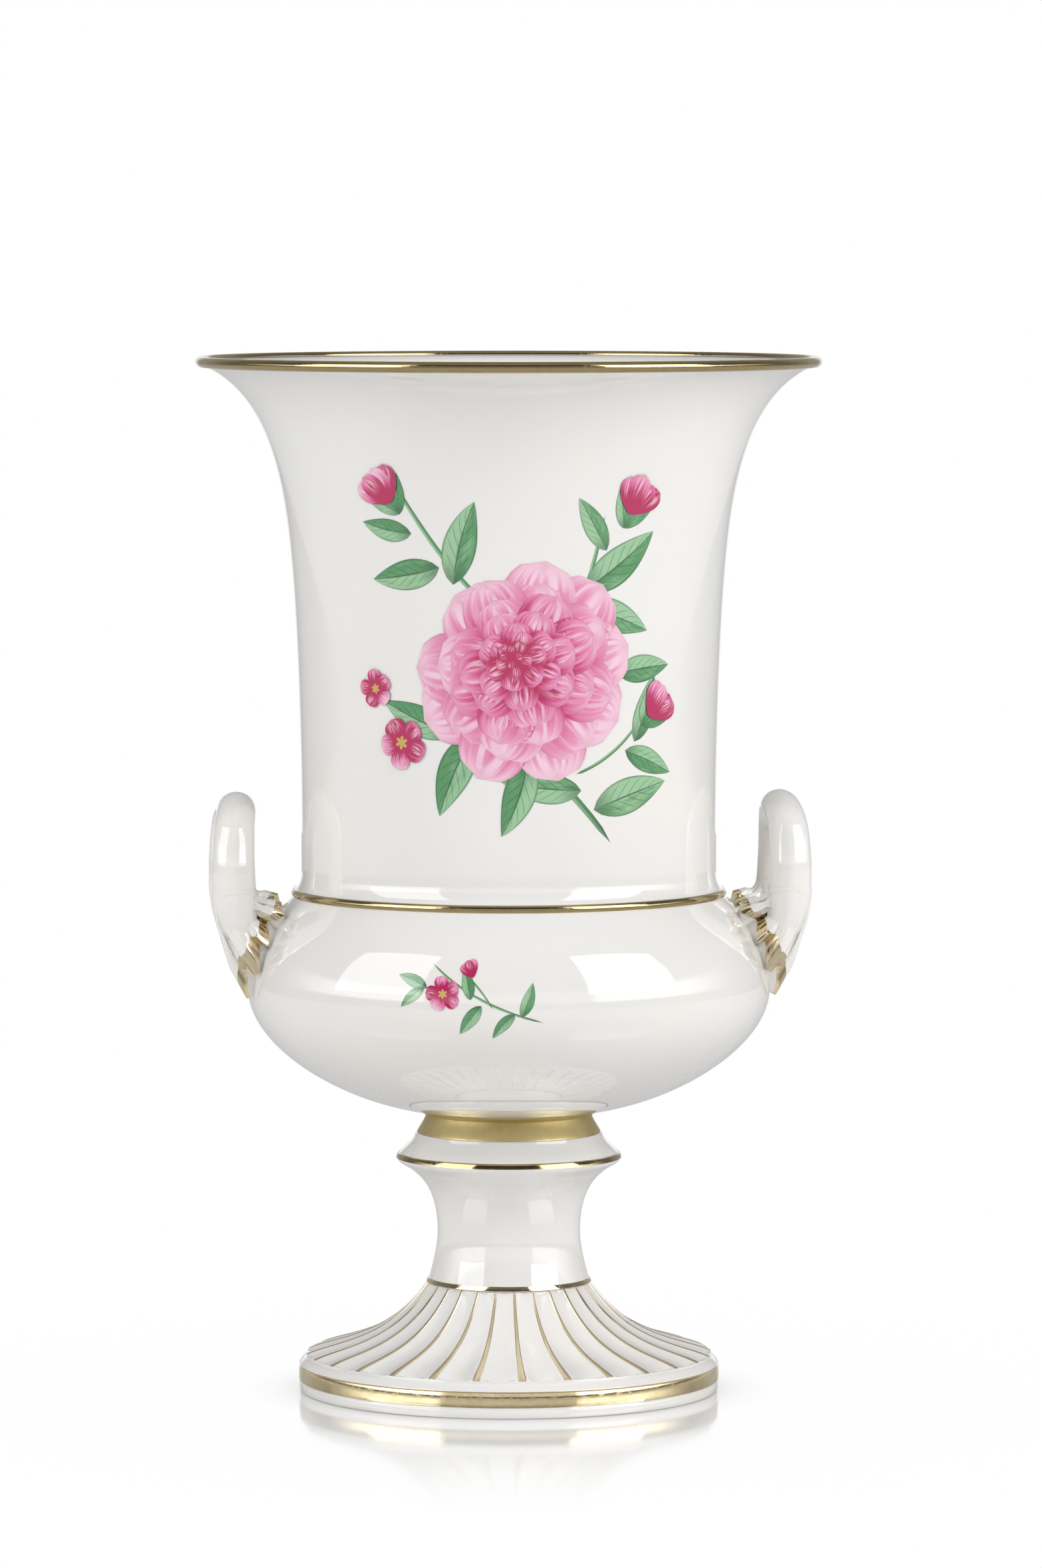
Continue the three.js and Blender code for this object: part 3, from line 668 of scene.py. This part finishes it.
def makeLoop(name, node, turn):
    h = handle
    path = loopPath()
    height = path[:, 2]
    along = direction(path)
    outward = np.array([1.0, 0, 0]) - along[:, :1] * along
    outward /= np.linalg.norm(outward, axis=1)[:, None]
    sideways = np.cross(along, outward)
    hiddenFoot = np.clip((h["footStart"] - height) / h["footLength"], 0, 1)  # the part inside the leaf
    deep, wide = legHalves(height, 1 - h["footTaper"] * hiddenFoot)
    angle = np.arange(h["sides"]) / h["sides"] * 2 * math.pi
    fade = np.clip((h["top"] - height) / h["ridgeFade"], 0.2, 1)[:, None]
    ridge = h["ridge"] * (np.cos(angle * h["ridges"]) * fade - 1)
    points = (path[:, None] + outward[:, None] * ((deep[:, None] + ridge) * np.cos(angle))[..., None]
              + sideways[:, None] * ((wide[:, None] + ridge) * np.sin(angle))[..., None]).reshape(-1, 3)
    faces = [(a, d, c, b) for a, b, c, d in tube(len(path), h["sides"], False)]
    ends = np.arange(len(points)).reshape(-1, h["sides"])
    faces += [ends[0, ::-1].tolist(), ends[-1].tolist()]
    if turn:
        points = points * (-1, -1, 1)
    seat(newPiece(name, points, faces, porcelain, 60), "porcelain", node)


leaf = {
    "start": 187.0, "azimuth": 12.2, "sectors": 32, "rows": 60, "grow": 0.1, "wall": 1.4, "root": 163.0,
    "drop": 0.42, "hang": 0.26, "reach": 0.42, "fullness": 6.2, "curl": 0.9, "tuck": 1.5,
    "puff": 1.6, "flip": 0.15, "skew": 0.18, "crease": 0.9, "creaseWidth": 0.16,
    "vein": 0.2, "veinPlace": 0.42, "veinWidth": 0.09, "goldEdge": (0.75, 1.25),
    # one side of the margin from the tip at the neck to the tip on the bowl: place round the leg in degrees,
    # distance sideways on the bowl, height, relief, and how far up the gilding goes
    "margin": [(90, -0.8, 177.8, 3.7, 1.8), (66, 0.8, 175.6, 5.2, 0.7), (46, 3.2, 176.0, 1.7, 3.7),
               (28, 0.3, 172.4, 5.8, 1.4), (4, 5.2, 166.1, 1.3, 6.5), (-14, 1.5, 168.6, 6.1, 2.6),
               (-46, 4.2, 156.5, 1.0, 9.5), (-70, -1.7, 161.2, 6.9, 2.0), (-90, -3.9, 147.4, 0.9, 7.0)],
}


def step(low, high, x):
    x = np.clip((x - low) / (high - low), 0, 1)
    return x * x * (3 - 2 * x)


def onBowl():  # gives a function for places on the bowl, with a rise off its surface
    outer = bowlOuter(60)
    length = np.r_[0, np.cumsum(np.linalg.norm(np.diff(outer, axis=0), axis=1))]
    facing = direction(outer)

    def place(sideways, height, rise):
        spot = np.interp(height, outer[:, 1], length)
        r, z = (np.interp(spot, length, outer[:, k]) for k in (0, 1))
        dr, dz = (np.interp(spot, length, facing[:, k]) for k in (0, 1))
        angle = math.radians(leaf["azimuth"]) + sideways / r
        r = r + dz * rise
        return np.stack([r * np.cos(angle), r * np.sin(angle), z - dr * rise], -1)
    return place


def leafMargin():  # the margin's rows all round the leaf, and 0 on a tip to 1 in a notch, with a sign
    half = np.array(leaf["margin"], float)
    ring = np.vstack([half[::-1], half[1:-1] * (1, -1, 1, 1, 1)])
    ring[len(half):, 0] = 180 - ring[len(half):, 0]
    ring = np.vstack([ring, ring[0] + (360, 0, 0, 0, 0)])
    t = np.arange(leaf["sectors"]) / leaf["sectors"]
    runs, creases = [], []
    for k, (a, b) in enumerate(zip(ring[:-1], ring[1:])):
        run = a + (b - a) * t[:, None]
        lean = np.array([b[2] - a[2], a[1] - b[1]])
        run[:, 1:3] += np.sin(math.pi * t)[:, None] * lean / np.linalg.norm(lean) * leaf["curl"]
        runs.append(run)
        creases.append(1 - t if k % 2 else -t)
    return np.concatenate(runs).T, np.concatenate(creases)


def makeLeaf(name, node, side, turn):
    d = leaf
    place = onBowl()
    (degrees, sideways, height, relief, goldWidth), signed = leafMargin()
    sectors = len(signed)
    creases = np.abs(signed)
    around = np.radians(degrees + 90)  # 0 faces away from the vase's axis
    margin = place(sideways, height, relief)
    leg = loopPath()
    leg = leg[len(leg) // 2:]
    leg = leg[np.argmin(np.abs(leg[:, 2] - d["start"]))]
    deep, wide = legHalves(d["start"])
    flat = np.zeros(sectors)
    ring = [np.cos(around) * (deep + d["grow"]), np.sin(around) * (wide + d["grow"]), flat]
    start = leg + np.stack(ring, 1)
    span = np.linalg.norm(margin - start, axis=1)[:, None]
    u = np.linspace(0, 1, d["rows"])[:, None]
    v = u[..., None]
    back = (1 - np.sin(np.radians(degrees)))[:, None] / 2  # 1 under the leg, 0 towards the neck
    outwards = np.stack([np.cos(around), np.sin(around) * 0.6, flat], 1)
    up, away = np.array([0, 0, 1.0]), np.array([1.0, 0, 0.35])
    first = start - up * span * d["drop"]
    pull = up * d["hang"] * back + away * d["reach"] * (1 - back)
    second = margin + span * pull + outwards * d["fullness"] * back ** 2
    w = 1 - v
    sheet = w ** 3 * start + 3 * w ** 2 * v * first + 3 * w * v ** 2 * second + v ** 3 * margin
    normal = np.cross(np.roll(sheet, -1, 1) - np.roll(sheet, 1, 1), np.gradient(sheet, axis=0))
    normal /= np.linalg.norm(normal, axis=2)[..., None] + 1e-9
    core = leg * w + place(0.0, d["root"], -3.0) * v
    normal *= np.sign((normal * (sheet - core)).sum(2))[..., None]
    fold = np.exp(-((1 - creases) / d["creaseWidth"]) ** 2)
    flank = np.exp(-((creases - d["veinPlace"]) / d["veinWidth"]) ** 2)
    shifted = np.clip(np.abs(signed + d["skew"] * np.sign(np.cos(around)) * np.sign(np.sin(around))), 0, 1)
    puff = np.cos(shifted * math.pi / 2) ** 1.2 * step(0.4, 0.72, u) * (1 + d["flip"] * step(0.72, 1.0, u))
    lift = (puff * d["puff"] - fold * d["crease"] * step(0.25, 0.9, u)
            - flank * d["vein"] * step(0.55, 0.8, u) * (1 - step(0.93, 1.0, u))
            - d["tuck"] * np.sin(around) ** 2 * np.sin(math.pi * np.clip((u - 0.05) / 0.7, 0, 1)))
    sheet = sheet + normal * lift[..., None]
    fromRoot = height - d["root"]
    walls = [place(sideways * 0.97, height, relief * 0.55 - 0.1),
             place(sideways * 0.9, d["root"] + fromRoot * 0.95, flat + 0.05),
             place(sideways * 0.85, d["root"] + fromRoot * 0.93, flat - d["wall"])]
    rows = np.concatenate([sheet, np.array(walls)])
    laid = 1 - step(*d["goldEdge"], span[:, 0] * (1 - u) / goldWidth)
    laid = np.maximum(laid, fold ** 3 * step(0.5, 0.72, u) * 0.95)
    # dark marks the creases and vein grooves, where the leaf gold is darkened: painted shade
    dark = np.clip(fold ** 2 * step(0.5, 0.75, u) + flank * step(0.62, 0.8, u) * 0.8, 0, 1)
    count = len(rows)
    points = np.vstack([rows.reshape(-1, 3), leg, place(0.0, d["root"], -d["wall"])])
    faces = tube(count, sectors, False)
    upper, last = count * sectors, (count - 1) * sectors
    for j in range(sectors):
        n = (j + 1) % sectors
        faces += [(upper, j, n), (upper + 1, last + n, last + j)]
    if side < 0:
        points = points * (1, -1, 1)
        faces = flipped(faces)
    if turn:
        points = points * (-1, -1, 1)
    piece = newPiece(name, points, faces, giltLeaf, 50)
    bare = np.zeros(len(points) - laid.size)
    # the vein attribute carries that painted crease shade to the material
    paint(piece, gilding=np.r_[laid.ravel(), bare], vein=np.r_[dark.ravel(), bare])
    seat(piece, "gilt", node)


makeLoop("loopRight", "handle_right", False)
makeLoop("loopLeft", "handle_left", True)
makeLeaf("acanthusRightFront", "leaf_right_front", -1, False)
makeLeaf("acanthusRightBack", "leaf_right_back", 1, False)
makeLeaf("acanthusLeftFront", "leaf_left_front", 1, True)
makeLeaf("acanthusLeftBack", "leaf_left_back", -1, True)

# Bolt, nut, washers, pads and gasket

print("hardware")

for name in ("bolt", "nut", "upper_washer", "lower_washer"):
    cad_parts[name].material_slots[0].material = steel
for name in ("upper_pad", "lower_pad", "joint_gasket"):
    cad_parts[name].material_slots[0].material = felt

# Enamel flowers and leaves as thin plates on the neck and the bowl

print("enamel")

enamel = {
    "deep": colour(184, 36, 92), "rose": colour(214, 92, 146), "soft": colour(230, 146, 184),
    "pale": colour(246, 216, 229), "line": colour(150, 62, 98), "pollen": colour(206, 172, 92),
    "leaf": colour(86, 148, 96), "leafLight": colour(156, 198, 156), "leafDark": colour(38, 76, 50),
    "roughness": 0.14, "thickness": 0.03, "layer": 0.006, "rows": 14, "columns": 10,
}


def brush(bench, *scales):  # a stroke's own coordinates, and where its grain is read
    along, across, tone = (bench.attribute(name) for name in ("along", "across", "tone"))
    grain = bench.vector(*(part * scale for part, scale in zip((across, along, tone), scales)))
    return along, across, tone, bench.math("ABSOLUTE", across), grain


def grainNoise(bench, grain, scale, detail):
    return bench.node("ShaderNodeTexNoise", None, {"Vector": grain, "Scale": scale, "Detail": detail})


def enamelled(bench, tint):
    surface(bench, baseColor=tint, roughness=enamel["roughness"],
            coat=1.0, coatRoughness=glaze["coatRoughness"])


def enamelPink():
    material, bench = newMaterial("enamelPink")
    along, _, tone, side, grain = brush(bench, 4.5, 1.1, 37)
    streak, broad = grainNoise(bench, grain, 1.6, 3), grainNoise(bench, grain, 0.5, 1)
    depth = (along - 0.45) * 1.8 + (streak - 0.5) * 0.8 + (broad - 0.5) * 0.7 - (tone - 0.35) * 0.9
    body = bench.mix(bench.rise(depth, 0.02, 0.5), enamel["deep"], enamel["rose"])
    body = bench.mix(bench.rise(depth, 0.3, 0.8) * 0.9, body, enamel["soft"])
    body = bench.mix(bench.rise(depth, 0.7, 1.2) * 0.7, body, enamel["pale"])
    light = bench.rise(along, 0.35, 0.7) * (1 - bench.rise(along, 0.8, 0.97))
    light = light * (1 - bench.rise(side, 0.3, 0.85)) * bench.rise(streak, 0.42, 0.66) * 0.7
    body = bench.mix(light, body, enamel["pale"])
    edge = bench.math("MAXIMUM", bench.rise(side, 0.86, 0.99), bench.rise(along, 0.94, 1.0))
    body = bench.mix(edge * (0.05 + streak * 0.6) * (0.35 + tone * 0.65), body, enamel["line"])
    enamelled(bench, bench.mix(bench.rise(tone, 1.4, 1.6), body, enamel["pollen"]))
    return material


def enamelGreen():
    material, bench = newMaterial("enamelGreen")
    along, across, tone, side, grain = brush(bench, 2.2, 2.4, 23)
    wash = grainNoise(bench, grain, 1.5, 3)
    half = bench.rise(across, -0.15, 0.15) * 0.5
    paler = bench.rise(wash + half + (tone - 0.5) * 0.4, 0.35, 1.0)
    body = bench.mix(paler, enamel["leaf"], enamel["leafLight"])
    veins = bench.math("ABSOLUTE", bench.math("SINE", (along * 1.15 - side * 0.32) * 19))
    vein = (1 - bench.rise(veins, 0.0, 0.26)) * (1 - bench.rise(side, 0.55, 0.95)) * 0.75
    middle = (1 - bench.rise(side, 0.02, 0.075)) * 0.8
    edge = bench.rise(side, 0.84, 0.98) * (0.3 + wash * 0.5)
    shade = (1 - bench.rise(along, 0.0, 0.35)) * 0.6
    dark = bench.math("MAXIMUM", bench.math("MAXIMUM", vein, middle), bench.math("MAXIMUM", edge, shade))
    enamelled(bench, bench.mix(dark, body, enamel["leafDark"]))
    return material


class Painter:  # collects strokes in a flat field, then lays them on a turned surface as thin plates
    def __init__(self, seed):
        self.rng = np.random.default_rng(seed)
        self.strokes = []

    def stroke(self, base, heading, length, width, fullness, belly, notch=0.0, turn=0.0, tone=None):
        t = np.linspace(0, 1, enamel["rows"] + 1)
        s = np.linspace(-1, 1, enamel["columns"] + 1)
        bearing = math.radians(heading) + math.radians(turn) * t
        ahead = np.stack([np.cos(bearing), np.sin(bearing)], 1)
        middle = np.cumsum(ahead * length / enamel["rows"], axis=0)
        middle = np.array(base) + middle - middle[0]
        bump = np.sin(math.pi * t ** (math.log(0.5) / math.log(belly)))
        half = width / 2 * np.clip(bump, 0, 1) ** fullness
        normal = ahead[:, ::-1] * (-1, 1)
        points = middle[:, None] + normal[:, None] * (half[:, None] * s)[..., None]
        if notch:
            pull = notch * length * np.exp(-(s / 0.35) ** 2) * (t[:, None] ** 6)
            points -= ahead[:, None] * pull[..., None]
        tone = self.rng.random() if tone is None else tone
        self.strokes.append((points, t, s, tone))

    def petal(self, centre, heading, length, width, tone=None):
        r = self.rng
        self.stroke(centre, heading, length * (0.94 + 0.12 * r.random()), width * (0.92 + 0.16 * r.random()),
                    0.42, 0.66, 0.05 + 0.05 * r.random(), r.uniform(-14, 14), tone)

    def petals(self, centre, heading, swings, length, width):
        for swing in swings:
            self.petal(centre, heading + swing, length, width)

    def leaf(self, base, heading, length, width, turn=None):
        turn = self.rng.uniform(-22, 22) if turn is None else turn
        self.stroke(base, heading, length, width, 0.85, 0.42, 0.0, turn)

    def bloom(self, centre, rings, lean):  # rings from the outside in: petals, length and width
        for k, (count, length, width) in enumerate(rings):
            start = self.rng.uniform(0, 360)
            spot = np.array(centre) + np.array(lean) * k
            for i in self.rng.permutation(count):
                tone = min(k / (len(rings) - 1) + self.rng.uniform(-0.12, 0.12), 1.0)
                heading = start + 360 * i / count + self.rng.uniform(-6, 6)
                self.petal(spot, heading, length, width, max(tone, 0))

    def floret(self, centre, size):
        start = self.rng.uniform(0, 360)
        self.petals(centre, start, range(0, 360, 72), size, size * 0.86)
        for turn in range(0, 360, 60):
            self.stroke(centre, start + turn, size * 0.27, size * 0.13, 0.6, 0.6, tone=2.0)

    def lay(self, name, place, material, lift):
        shape = (2, enamel["rows"] + 1, enamel["columns"] + 1)
        index = np.arange(math.prod(shape)).reshape(shape)
        upper, lower = index
        rim = np.r_[upper[0, :-1], upper[:-1, -1], upper[-1, :0:-1], upper[:0:-1, 0], upper[0, 0]]
        plate = np.roll(quads(upper) + quads(lower.T) + quads(np.stack([rim, rim + upper.size], 1)), 1, 1)
        vertices, along, across, tones = [], [], [], []
        for k, (points, t, s, tone) in enumerate(self.strokes):
            height = lift + enamel["layer"] * k
            for level in (height, height - enamel["thickness"]):
                vertices.append(place(points[..., 0].ravel(), points[..., 1].ravel(), level))
                along.append(np.repeat(t, len(s)))
                across.append(np.tile(s, len(t)))
                tones.append(np.full(upper.size, tone))
        faces = np.concatenate([plate + index.size * k for k in range(len(self.strokes))])
        piece = newPiece(name, np.concatenate(vertices), faces.tolist(), material, 60)
        paint(piece, along=np.concatenate(along), across=np.concatenate(across), tone=np.concatenate(tones))
        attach(piece, "root")


def fieldOn(outer, arcRadius):  # a flat field of arc and height, laid on a turned surface at the front
    order = np.argsort(outer[:, 1])
    radii, heights = outer[order].T
    dr, dz = direction(outer)[order].T

    def place(x, y, lift):
        radius = np.interp(y, heights, radii) + np.interp(y, heights, dz) * lift
        angle = x / arcRadius - math.pi / 2
        height = y - np.interp(y, heights, dr) * lift
        return np.stack([radius * np.cos(angle), radius * np.sin(angle), height], -1)
    return place


pink = enamelPink()
green = enamelGreen()


def makeNeckSpray():
    place = fieldOn(neckOuter(120), 78.5)
    flowers, leaves = Painter(5), Painter(8)
    for base, heading, length, width, turn in [
            ((34, 207), 128, 92, 2.6, 22), ((-6, 286), 140, 62, 1.7, -22), ((8, 262), 62, 66, 1.5, 18),
            ((4, 250), 196, 44, 1.3, -20), ((20, 232), 18, 30, 1.2, 30)]:
        leaves.stroke(base, heading, length, width, 0.16, 0.5, 0, turn, 0.1)
    for base, heading, length, width in [
            ((27, 219), 20, 34, 13), ((22, 226), 178, 30, 11), ((44, 243), 62, 26, 9),
            ((40, 240), -20, 24, 9), ((-25, 300), 84, 31, 12), ((-30, 306), 196, 27, 11),
            ((-40, 318), 176, 20, 8), ((22, 298), 30, 34, 13), ((20, 292), -12, 30, 12),
            ((30, 312), 118, 22, 8), ((-18, 246), 236, 32, 13), ((-26, 246), 160, 30, 11),
            ((2, 238), 262, 30, 12), ((36, 268), 8, 24, 10)]:
        leaves.leaf(base, heading, length, width)
    for bud, heading in (((36, 320), 66), ((-44, 325), 122), ((47, 249), 42)):
        for swing in (-26, 0, 26):
            leaves.leaf(bud, heading + swing, 15, 5.5, swing * 0.5)
    flowers.bloom((2, 268), [(9, 40, 27), (8, 34, 25), (8, 28, 21), (7, 22, 17), (6, 16, 13), (6, 11, 9),
                             (5, 7, 6), (4, 4, 4)], (-0.9, 0.9))
    for bud, heading in (((38, 325), 66), ((-47, 329), 122), ((50, 252), 42)):
        flowers.petals(bud, heading, (-30, 30, -12, 12), 14, 8)
    flowers.floret((-46, 243), 9.5)
    flowers.floret((-57, 262), 7)
    leaves.lay("neckLeaves", place, green, 0.05)
    flowers.lay("neckFlowers", place, pink, 0.22)


def makeBowlSprig():
    place = fieldOn(bowlOuter(120), 95.0)
    flowers, leaves = Painter(3), Painter(4)
    leaves.stroke((6, 145), 168, 46, 0.9, 0.2, 0.5, 0, -28, 0.1)
    leaves.stroke((-12, 150), 120, 18, 0.7, 0.2, 0.5, 0, 20, 0.1)
    for base, heading, length, width in [
            ((-2, 147), 60, 13, 4.5), ((-4, 148), 216, 12, 4.2), ((-16, 151), 230, 13, 5),
            ((-20, 153), 96, 12, 4.5), ((-36, 157), 150, 12, 4.4), ((-37, 157), 210, 11, 4)]:
        leaves.leaf(base, heading, length, width)
    flowers.floret((-30, 155), 6.4)
    flowers.petals((-19, 161), 118, (-24, 24, 0), 6.5, 3.4)
    leaves.lay("bowlLeaves", place, green, 0.05)
    flowers.lay("bowlFlowers", place, pink, 0.14)

makeNeckSpray()
makeBowlSprig()

# Studio: floor, light and camera

print("studio")

studio = {
    "floorRadius": 2.6, "mirror": 0.5, "mirrorNear": 0.085, "mirrorFar": 0.29, "mirrorRoughness": 0.09,
    # contact and contactLight set the painted contact shadow in the floor's glow
    "contact": 0.022, "contactLight": 0.35, "tableShine": 0.55, "worldLight": 0.49, "bounce": 0.96,
    "front": 0.07, "strip": 0.7, "apron": 2.0, "ceiling": 0.34, "side": 0.20, "behind": 0.40,
    # bearing right of the camera's direction and facing in degrees, height, distance, width, length, power
    "softboxes": [(-63, -38, 0.98, 1.42, 1.20, 1.24, 12.5), (60, 35, 1.00, 1.42, 1.22, 1.24, 17)],
}
shot = {"bearing": 3.8, "distance": 2.90267, "height": 0.43315, "pitch": 4.136, "yaw": 0.0885, "lens": 182.2}
white = (1, 1, 1, 1)


def makeFloor():
    s, steps = studio, 96
    disc = spun(np.arange(steps) / steps * 2 * math.pi, s["floorRadius"] / mm, 0)
    material, bench = newMaterial("whiteTable")
    x, y = bench.split(bench.place())[:2]
    near = 1 - bench.rise(bench.math("SQRT", x * x + y * y), s["mirrorNear"], s["mirrorFar"])
    # Ambient occlusion darkens the floor's glow near the vase: a painted contact shadow
    openness = bench.node("ShaderNodeAmbientOcclusion", {"samples": 16}, {"Distance": s["contact"]}, "AO")
    camera, glossy = bench.ray("Is Camera Ray"), bench.ray("Is Glossy Ray")
    seen = bench.math("MINIMUM", camera + glossy, 1)
    shine = camera + (1 - camera) * s["tableShine"]
    shade = s["contactLight"] + openness * (1 - s["contactLight"])
    glow = bench.node("ShaderNodeEmission", None, {"Color": white, "Strength": shine * shade})
    mirror = bench.node("ShaderNodeBsdfGlossy", None, {"Color": white, "Roughness": s["mirrorRoughness"]})
    polished = bench.node("ShaderNodeMixShader", None, {0: near * s["mirror"], 1: glow, 2: mirror})
    plain = bench.node("ShaderNodeBsdfDiffuse", None, {"Color": (s["bounce"],) * 3 + (1,)})
    whole = bench.node("ShaderNodeMixShader", None, {0: seen, 1: plain, 2: polished})
    bench.node("ShaderNodeOutputMaterial", None, {"Surface": whole}, None)
    newPiece("floor", disc, [tuple(range(steps))], material)


def makeWorld():
    s, turn = studio, math.radians(shot["bearing"])
    world = bpy.data.worlds.new("studioWorld")
    bpy.context.scene.world = world
    world.use_nodes = True
    bench = Bench(world.node_tree)
    x, y, z = bench.split(bench.node("ShaderNodeTexCoord", output="Generated"))
    back = y * math.cos(turn) + x * math.sin(turn)  # 1 straight behind the vase, -1 at the camera
    across = bench.math("ABSOLUTE", x * math.cos(turn) - y * math.sin(turn))
    strip = bench.rise(z, 0.04, 0.07) * (1 - bench.rise(z, 0.2, 0.3))
    front = s["front"] + strip * (s["strip"] + bench.rise(across, 0.58, 0.64) * s["apron"])
    room = front + bench.rise(back, -0.35, 0.5) * (s["side"] - front)
    room = room + bench.rise(back, 0.5, 0.9) * (s["behind"] - s["side"])
    room = room + bench.rise(z, 0.6, 0.95) * (s["ceiling"] - room)
    room = room + bench.rise(back, 0.94, 0.985) * (1 - bench.rise(z, 0.18, 0.25)) * (1 - room)
    camera, glossy = bench.ray("Is Camera Ray"), bench.ray("Is Glossy Ray")
    gloss = bench.math("MINIMUM", glossy + bench.ray("Is Transmission Ray"), 1) * (1 - camera)
    diffuse = 1 - bench.math("MINIMUM", camera + gloss, 1)
    strength = camera + gloss * room + diffuse * s["worldLight"]
    glow = bench.node("ShaderNodeBackground", None, {"Color": white, "Strength": strength})
    bench.node("ShaderNodeOutputWorld", None, {"Surface": glow}, None)


def aimed(obj, place, target):
    obj.location = place
    obj.rotation_euler = (Vector(target) - Vector(place)).to_track_quat("-Z", "Y").to_euler()
    bpy.context.scene.collection.objects.link(obj)


def makeLights():
    for i, (bearing, facing, height, distance, width, tall, power) in enumerate(studio["softboxes"]):
        turn, face = (math.radians(angle - shot["bearing"]) for angle in (bearing, facing))
        lamp = bpy.data.lights.new(f"softbox{i}", "AREA")
        lamp.shape, lamp.size, lamp.size_y, lamp.energy = "RECTANGLE", width, tall, power
        place = (math.sin(turn) * distance, -math.cos(turn) * distance, height)
        target = (place[0] - math.sin(face), place[1] + math.cos(face), height)
        aimed(bpy.data.objects.new(f"softbox{i}", lamp), place, target)


def makeCamera():
    turn = math.radians(shot["bearing"])
    data = bpy.data.cameras.new("camera")
    data.lens, data.sensor_width, data.clip_end = shot["lens"], 36, 100
    camera = bpy.data.objects.new("camera", data)
    bpy.context.scene.collection.objects.link(camera)
    camera.location = (-math.sin(turn) * shot["distance"], -math.cos(turn) * shot["distance"], shot["height"])
    camera.rotation_euler = (math.radians(90 - shot["pitch"]), 0, -turn - math.radians(shot["yaw"]))
    bpy.context.scene.camera = camera


makeFloor()
makeWorld()
makeLights()
makeCamera()
bpy.context.scene.view_settings.view_transform = "Standard"

bpy.context.view_layer.update()
